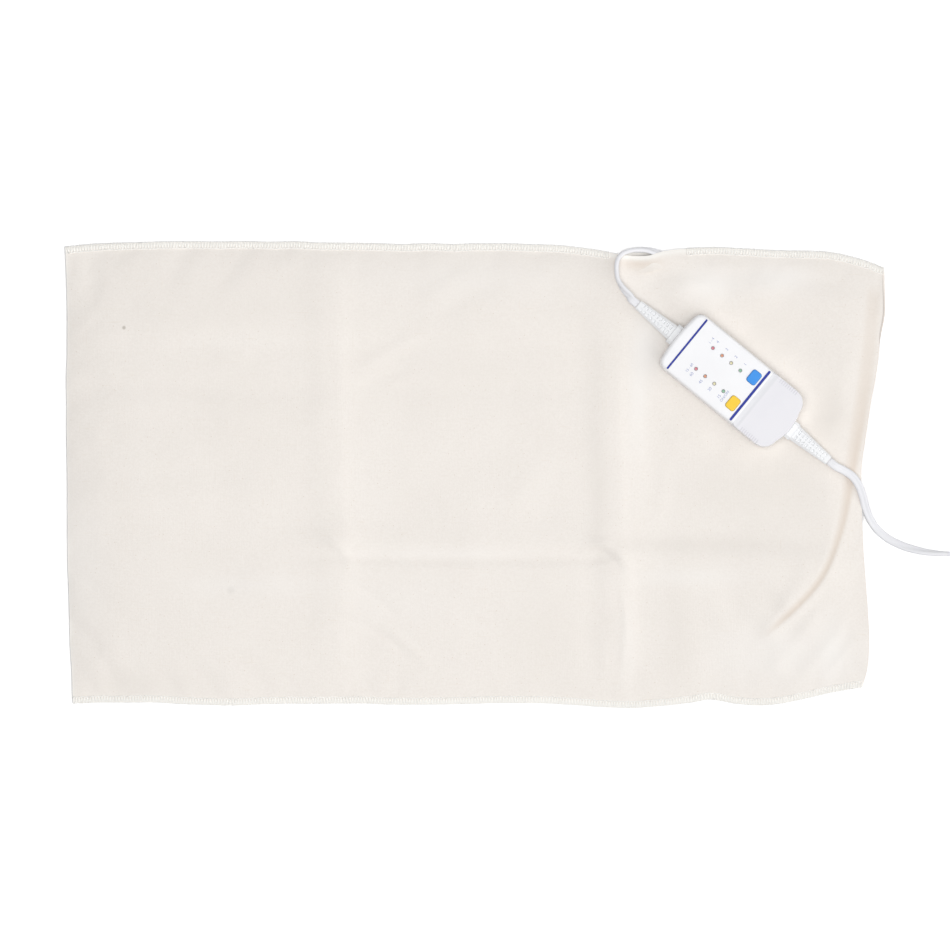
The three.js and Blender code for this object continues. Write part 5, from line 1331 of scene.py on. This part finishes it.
NEEDLE_LINE = (
    (1.0, 0.05, LINE_OVER, -0.4 * THREAD_PROUD), (1.0, 0.25, LINE_OVER, 1.1 * THREAD_PROUD),
    (1.0, 0.75, LINE_OVER, 1.1 * THREAD_PROUD), (1.0, 0.95, LINE_OVER, -0.4 * THREAD_PROUD),
)

# Name, node, whether it is at the rear, its ends along X, and the seed of its unevenness
SEAMS = (
    ("rear_overlock_left", "rear_seam_left", True, -COVER_LENGTH, LEAD_GAP_X[0], 41),
    ("rear_overlock_right", "rear_seam_right", True, LEAD_GAP_X[2], COVER_LENGTH, 42),
    ("front_overlock", "front_seam", False, -COVER_LENGTH, COVER_LENGTH, 43),
)


def round_thread(points):
    """Points and faces of a round thread along a bent line, in rings that turn as little as they can."""
    points = np.array(points)
    ahead = np.gradient(points, axis=0)
    ahead /= np.linalg.norm(ahead, axis=1)[:, None]
    side = np.zeros_like(points)
    side[0] = np.cross(ahead[0], (0, 0, 1) if abs(ahead[0][2]) < THREAD_STEEP else (1, 0, 0))
    side[0] /= np.linalg.norm(side[0])
    for i in range(1, len(points)):
        bent = side[i - 1] - ahead[i] * side[i - 1].dot(ahead[i])
        side[i] = bent / np.linalg.norm(bent)
    over = np.cross(ahead, side)
    angles = (np.arange(THREAD_SIDES) / THREAD_SIDES * 2 * math.pi)[None, :, None]
    around = np.cos(angles) * side[:, None] + np.sin(angles) * over[:, None]
    rings = points[:, None] + THREAD_RADIUS * around
    return rings.reshape(-1, 3), ring_faces(len(points), THREAD_SIDES)


def make_seam(name, node, rear, start_x, end_x, seed, plan, top, bottom):
    """Overlock stitching along an edge: a looping thread above and below, and a needle line."""
    edge, j, line_j, turn = (plan.rear, -1, -3, 1) if rear else (plan.front, 0, 2, -1)
    heights = (top[:, j], bottom[:, j], top[:, line_j], bottom[:, line_j])
    run = resample(np.column_stack([edge, *heights]), SEAM_SAMPLES)
    run = run[(run[:, 0] >= start_x) & (run[:, 0] <= end_x)]
    count = int(run_length(run[:, :2]) / STITCH_PITCH)
    stations = resample(run, count + 1)
    random = np.random.RandomState(seed)
    ahead = np.gradient(stations[:, :2], axis=0)
    ahead /= np.linalg.norm(ahead, axis=1)[:, None]
    inward = np.column_stack([ahead[:, 1], -ahead[:, 0]]) * turn
    threads = ([], [], [])
    for k in range(count):
        step = ahead[k] * STITCH_PITCH
        reach = SEAM_WIDTH * (1 + REACH_SPREAD * random.uniform(-1, 1))
        place = stations[k, :2] + step * PITCH_SPREAD * random.uniform(-1, 1)
        for thread, path in zip(threads, (UPPER_LOOP, LOWER_LOOP, NEEDLE_LINE)):
            thread += [
                (*(place + inward[k] * reach * share_in + step * share_on), stations[k, 2 + level] + rise)
                for share_in, share_on, level, rise in path
            ]
    points, faces = np.zeros((0, 3)), []
    for thread in threads:
        more, more_faces = round_thread(thread)
        faces += [tuple(index + len(points) for index in face) for face in more_faces]
        points = np.vstack([points, more])
    seated(piece(name, points, faces, THREAD), "thread", node)


# Controller

LABEL_SIZE = 0.0036
HEADER_SIZE = 0.0031
LABEL_RISE = 0.00004
LABEL_WELD = 0.000001
LIGHT_FIRST_X = -0.0319
LIGHT_PITCH = 0.0099
TIME_LABEL_Y = -0.0171
HEAT_LABEL_Y = 0.0178
TIME_WORDS = ("60", "45", "30", "15")
HEAT_WORDS = ("4", "3", "2", "1")
HEADERS = (("15 - 60", -0.0367, -0.014), ("1 - 4", -0.0367, 0.0153), ("ON/OFF", 0.0014, -0.0138))


def case_matrix():
    place = Matrix.Translation((CASE_CENTRE[0], CASE_CENTRE[1], CASE_FLOOR))
    return place @ Matrix.Rotation(CASE_TURN, 4, "Z")


def printed(joined, word, x, y, size):
    """Adds a word to the joined labels, read with the mains end to the right."""
    text = bpy.data.curves.new("label_text", "FONT")
    text.body = word
    text.size = size
    text.extrude = LABEL_RISE
    text.align_x = "CENTER"
    text.align_y = "CENTER"
    holder = linked("label_text", text)
    mesh = bpy.data.meshes.new_from_object(holder)
    place = Matrix.Translation((x, y, CASE_HEIGHT + LABEL_RISE))
    mesh.transform(case_matrix() @ place @ Matrix.Rotation(math.pi / 2, 4, "Z"))
    joined.from_mesh(mesh)
    bpy.data.objects.remove(holder)
    bpy.data.meshes.remove(mesh)
    bpy.data.curves.remove(text)


def make_labels():
    """Plain numbers beside the lights, their ranges at the head of each row, and ON and OFF."""
    joined = bmesh.new()
    for y, words in ((TIME_LABEL_Y, TIME_WORDS), (HEAT_LABEL_Y, HEAT_WORDS)):
        for i, word in enumerate(words):
            printed(joined, word, LIGHT_FIRST_X + i * LIGHT_PITCH, y, LABEL_SIZE)
    for word, x, y in HEADERS:
        printed(joined, word, x, y, HEADER_SIZE)
    bmesh.ops.remove_doubles(joined, verts=joined.verts, dist=LABEL_WELD)
    mesh = bpy.data.meshes.new("light_numbers")
    joined.to_mesh(mesh)
    joined.free()
    mesh.materials.append(LABEL_INK)
    seated(linked("light_numbers", mesh), "navy")


# Studio

FLOOR_HALF = 8.0
FLOOR_GREYS = ((0.8, 0.8, 0.8, 1), (0.82, 0.82, 0.82, 1))
FLOOR_SEEN = (1.4, 1.4, 1.4, 1)
WORLD_STRENGTH = 0.3
WORLD_COLOUR = (0.985, 0.99, 1.0, 1)
KEY_STRENGTH = 1.22
KEY_SOFTNESS = math.radians(70)
KEY_ELEVATION = math.radians(42)
KEY_AZIMUTH = math.radians(-24)
KEY_COLOUR = (1.0, 0.998, 0.992)
SOFT_BOX_SIZE = 0.8
SOFT_BOX_POWER = 19.0
SOFT_BOX_PLACE = (0.06, 0.0, 2.0)
VIEW_END = 50.0


def make_floor():
    """A pale floor that looks white from the camera and keeps the object's shadow."""
    corners = [(x * FLOOR_HALF, y * FLOOR_HALF, 0) for x, y in ((-1, -1), (1, -1), (1, 1), (-1, 1))]
    finish = Finish("floor", 0.9, Specular_IOR_Level=0.1)
    rays = add_node(finish.tree, "LightPath").outputs
    through = finish.math("MAXIMUM", rays["Is Glossy Ray"], rays["Is Transmission Ray"])
    seen = finish.math("MAXIMUM", rays["Is Camera Ray"], through)
    plain = finish.mix(finish.noise(40, 2.0), *FLOOR_GREYS)
    diffuse = add_node(finish.tree, "BsdfDiffuse", {}, {"Color": finish.mix(seen, plain, FLOOR_SEEN)})
    finish.tree.links.new(diffuse.outputs[0], finish.tree.nodes["Material Output"].inputs["Surface"])
    piece("studio_floor", corners, [(0, 1, 2, 3)], finish.material)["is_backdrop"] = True


def make_world():
    world = bpy.data.worlds.new("studio_world")
    bpy.context.scene.world = world
    world.use_nodes = True
    tree = world.node_tree
    tree.nodes.clear()
    rays = add_node(tree, "LightPath").outputs
    looked_at = {0: rays["Is Camera Ray"], 1: rays["Is Transmission Ray"]}
    seen = add_node(tree, "Math", {}, looked_at, operation="MAXIMUM").outputs[0]
    strength = add_node(tree, "MapRange", {"To Min": WORLD_STRENGTH, "To Max": 1.0}, {"Value": seen})
    light = add_node(tree, "Background", {"Color": WORLD_COLOUR}, {"Strength": strength.outputs[0]})
    output = add_node(tree, "OutputWorld", {}, {"Surface": light.outputs[0]})
    output.is_active_output = True


def make_lamps():
    key = bpy.data.lights.new("key_lamp", "SUN")
    key.energy = KEY_STRENGTH
    key.angle = KEY_SOFTNESS
    key.color = KEY_COLOUR
    level = math.cos(KEY_ELEVATION)
    towards = Vector((level * math.cos(KEY_AZIMUTH), level * math.sin(KEY_AZIMUTH), math.sin(KEY_ELEVATION)))
    hang_lamp(key, (0, 0, 0), towards)
    box = bpy.data.lights.new("soft_box", "AREA")
    box.shape = "SQUARE"
    box.size = SOFT_BOX_SIZE
    box.energy = SOFT_BOX_POWER
    hang_lamp(box, SOFT_BOX_PLACE, Vector((0, 0, 1)))


def hang_lamp(lamp, place, towards):
    holder = linked(lamp.name, lamp)
    holder.location = place
    holder.rotation_euler = towards.to_track_quat("Z", "Y").to_euler()
    holder.visible_camera = False
    holder.visible_glossy = lamp.type == "SUN"


def make_camera():
    data = bpy.data.cameras.new("camera")
    data.sensor_width = SENSOR_MM
    data.lens = SENSOR_MM * (CAMERA_HEIGHT - VIEW_LEVEL) / VIEW_WIDTH
    data.clip_end = VIEW_END
    camera = linked("camera", data)
    camera.location = (0, CAMERA_Y, CAMERA_HEIGHT)
    bpy.context.scene.camera = camera


# Assembly

make_camera()
make_floor()
make_world()
make_lamps()
bpy.context.scene.view_settings.view_transform = "Standard"

plug_pieces = [
    refined("plug_moulding", "plug_body", CORD_VINYL, "cord", KEY_ROUND),
    refined("narrow_blade", "plug_blade_narrow", BRASS, "brass", BLADE_ROUND),
    refined("wide_blade", "plug_blade_wide", BRASS, "brass", BLADE_ROUND),
]
make_lead()
make_mains()

plan, top, bottom = make_cover()
for seam in SEAMS:
    make_seam(*seam, plan, top, bottom)

case_halves = [
    refined("case_upper", "controller_top_case", CASE_PLASTIC, "case", CASE_ROUND),
    refined("case_lower", "controller_bottom_case", CASE_PLASTIC, "case", CASE_ROUND),
]
refined("inlay_lead_end", "face_bar_lead", NAVY, "navy", FINE_ROUND)
refined("inlay_mains_end", "face_bar_mains", NAVY, "navy", FINE_ROUND)
for colour, material in (("blue", BLUE_KEY), ("yellow", YELLOW_KEY)):
    body = f"{colour}_key"
    refined(f"key_{colour}", f"button_{colour}", material, body, KEY_ROUND, body, KEY_SWELL)
for end in ("lead", "mains"):
    boot = refined(f"boot_{end}", f"{end}_strain_relief", BOOT_VINYL, "cord", FINE_ROUND)
    seat_flange(boot, case_halves)
for row in ("blue", "yellow"):
    for i, (colour, lens) in enumerate(LENSES.items(), 1):
        node = f"light_{row}_side_{i}"
        refined(f"lens_{row}_{i}", node, lens, f"{colour}_lens", FINE_ROUND, swell=KEY_SWELL)
make_labels()

# Inner solids that keep their own shapes, below the material of each
HIDDEN = {
    VINYL_SHELL: ("inner_shell_bottom",),
    FELT: ("element_carrier",),
    WIRE: ("heating_wire",),
    BLACK: ("thermostat_1", "thermostat_2", "thermostat_3", "plunger_blue", "switch_blue", "plunger_yellow",
            "switch_yellow", "controller_chip", "power_triac", "lead_terminals", "mains_terminals"),
    CORD_VINYL: ("lead_entry_block",),
    BOARD: ("circuit_board",),
    CAPACITOR: ("film_capacitor",),
    GLASS: ("board_fuse",),
    STEEL: ("case_screw_1", "case_screw_2"),
}
for finish, nodes in HIDDEN.items():
    for name in nodes:
        paint(name, finish)

({"cad": [list(corner) for corner in cad_box],
           "visual": [list(corner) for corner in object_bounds()]})
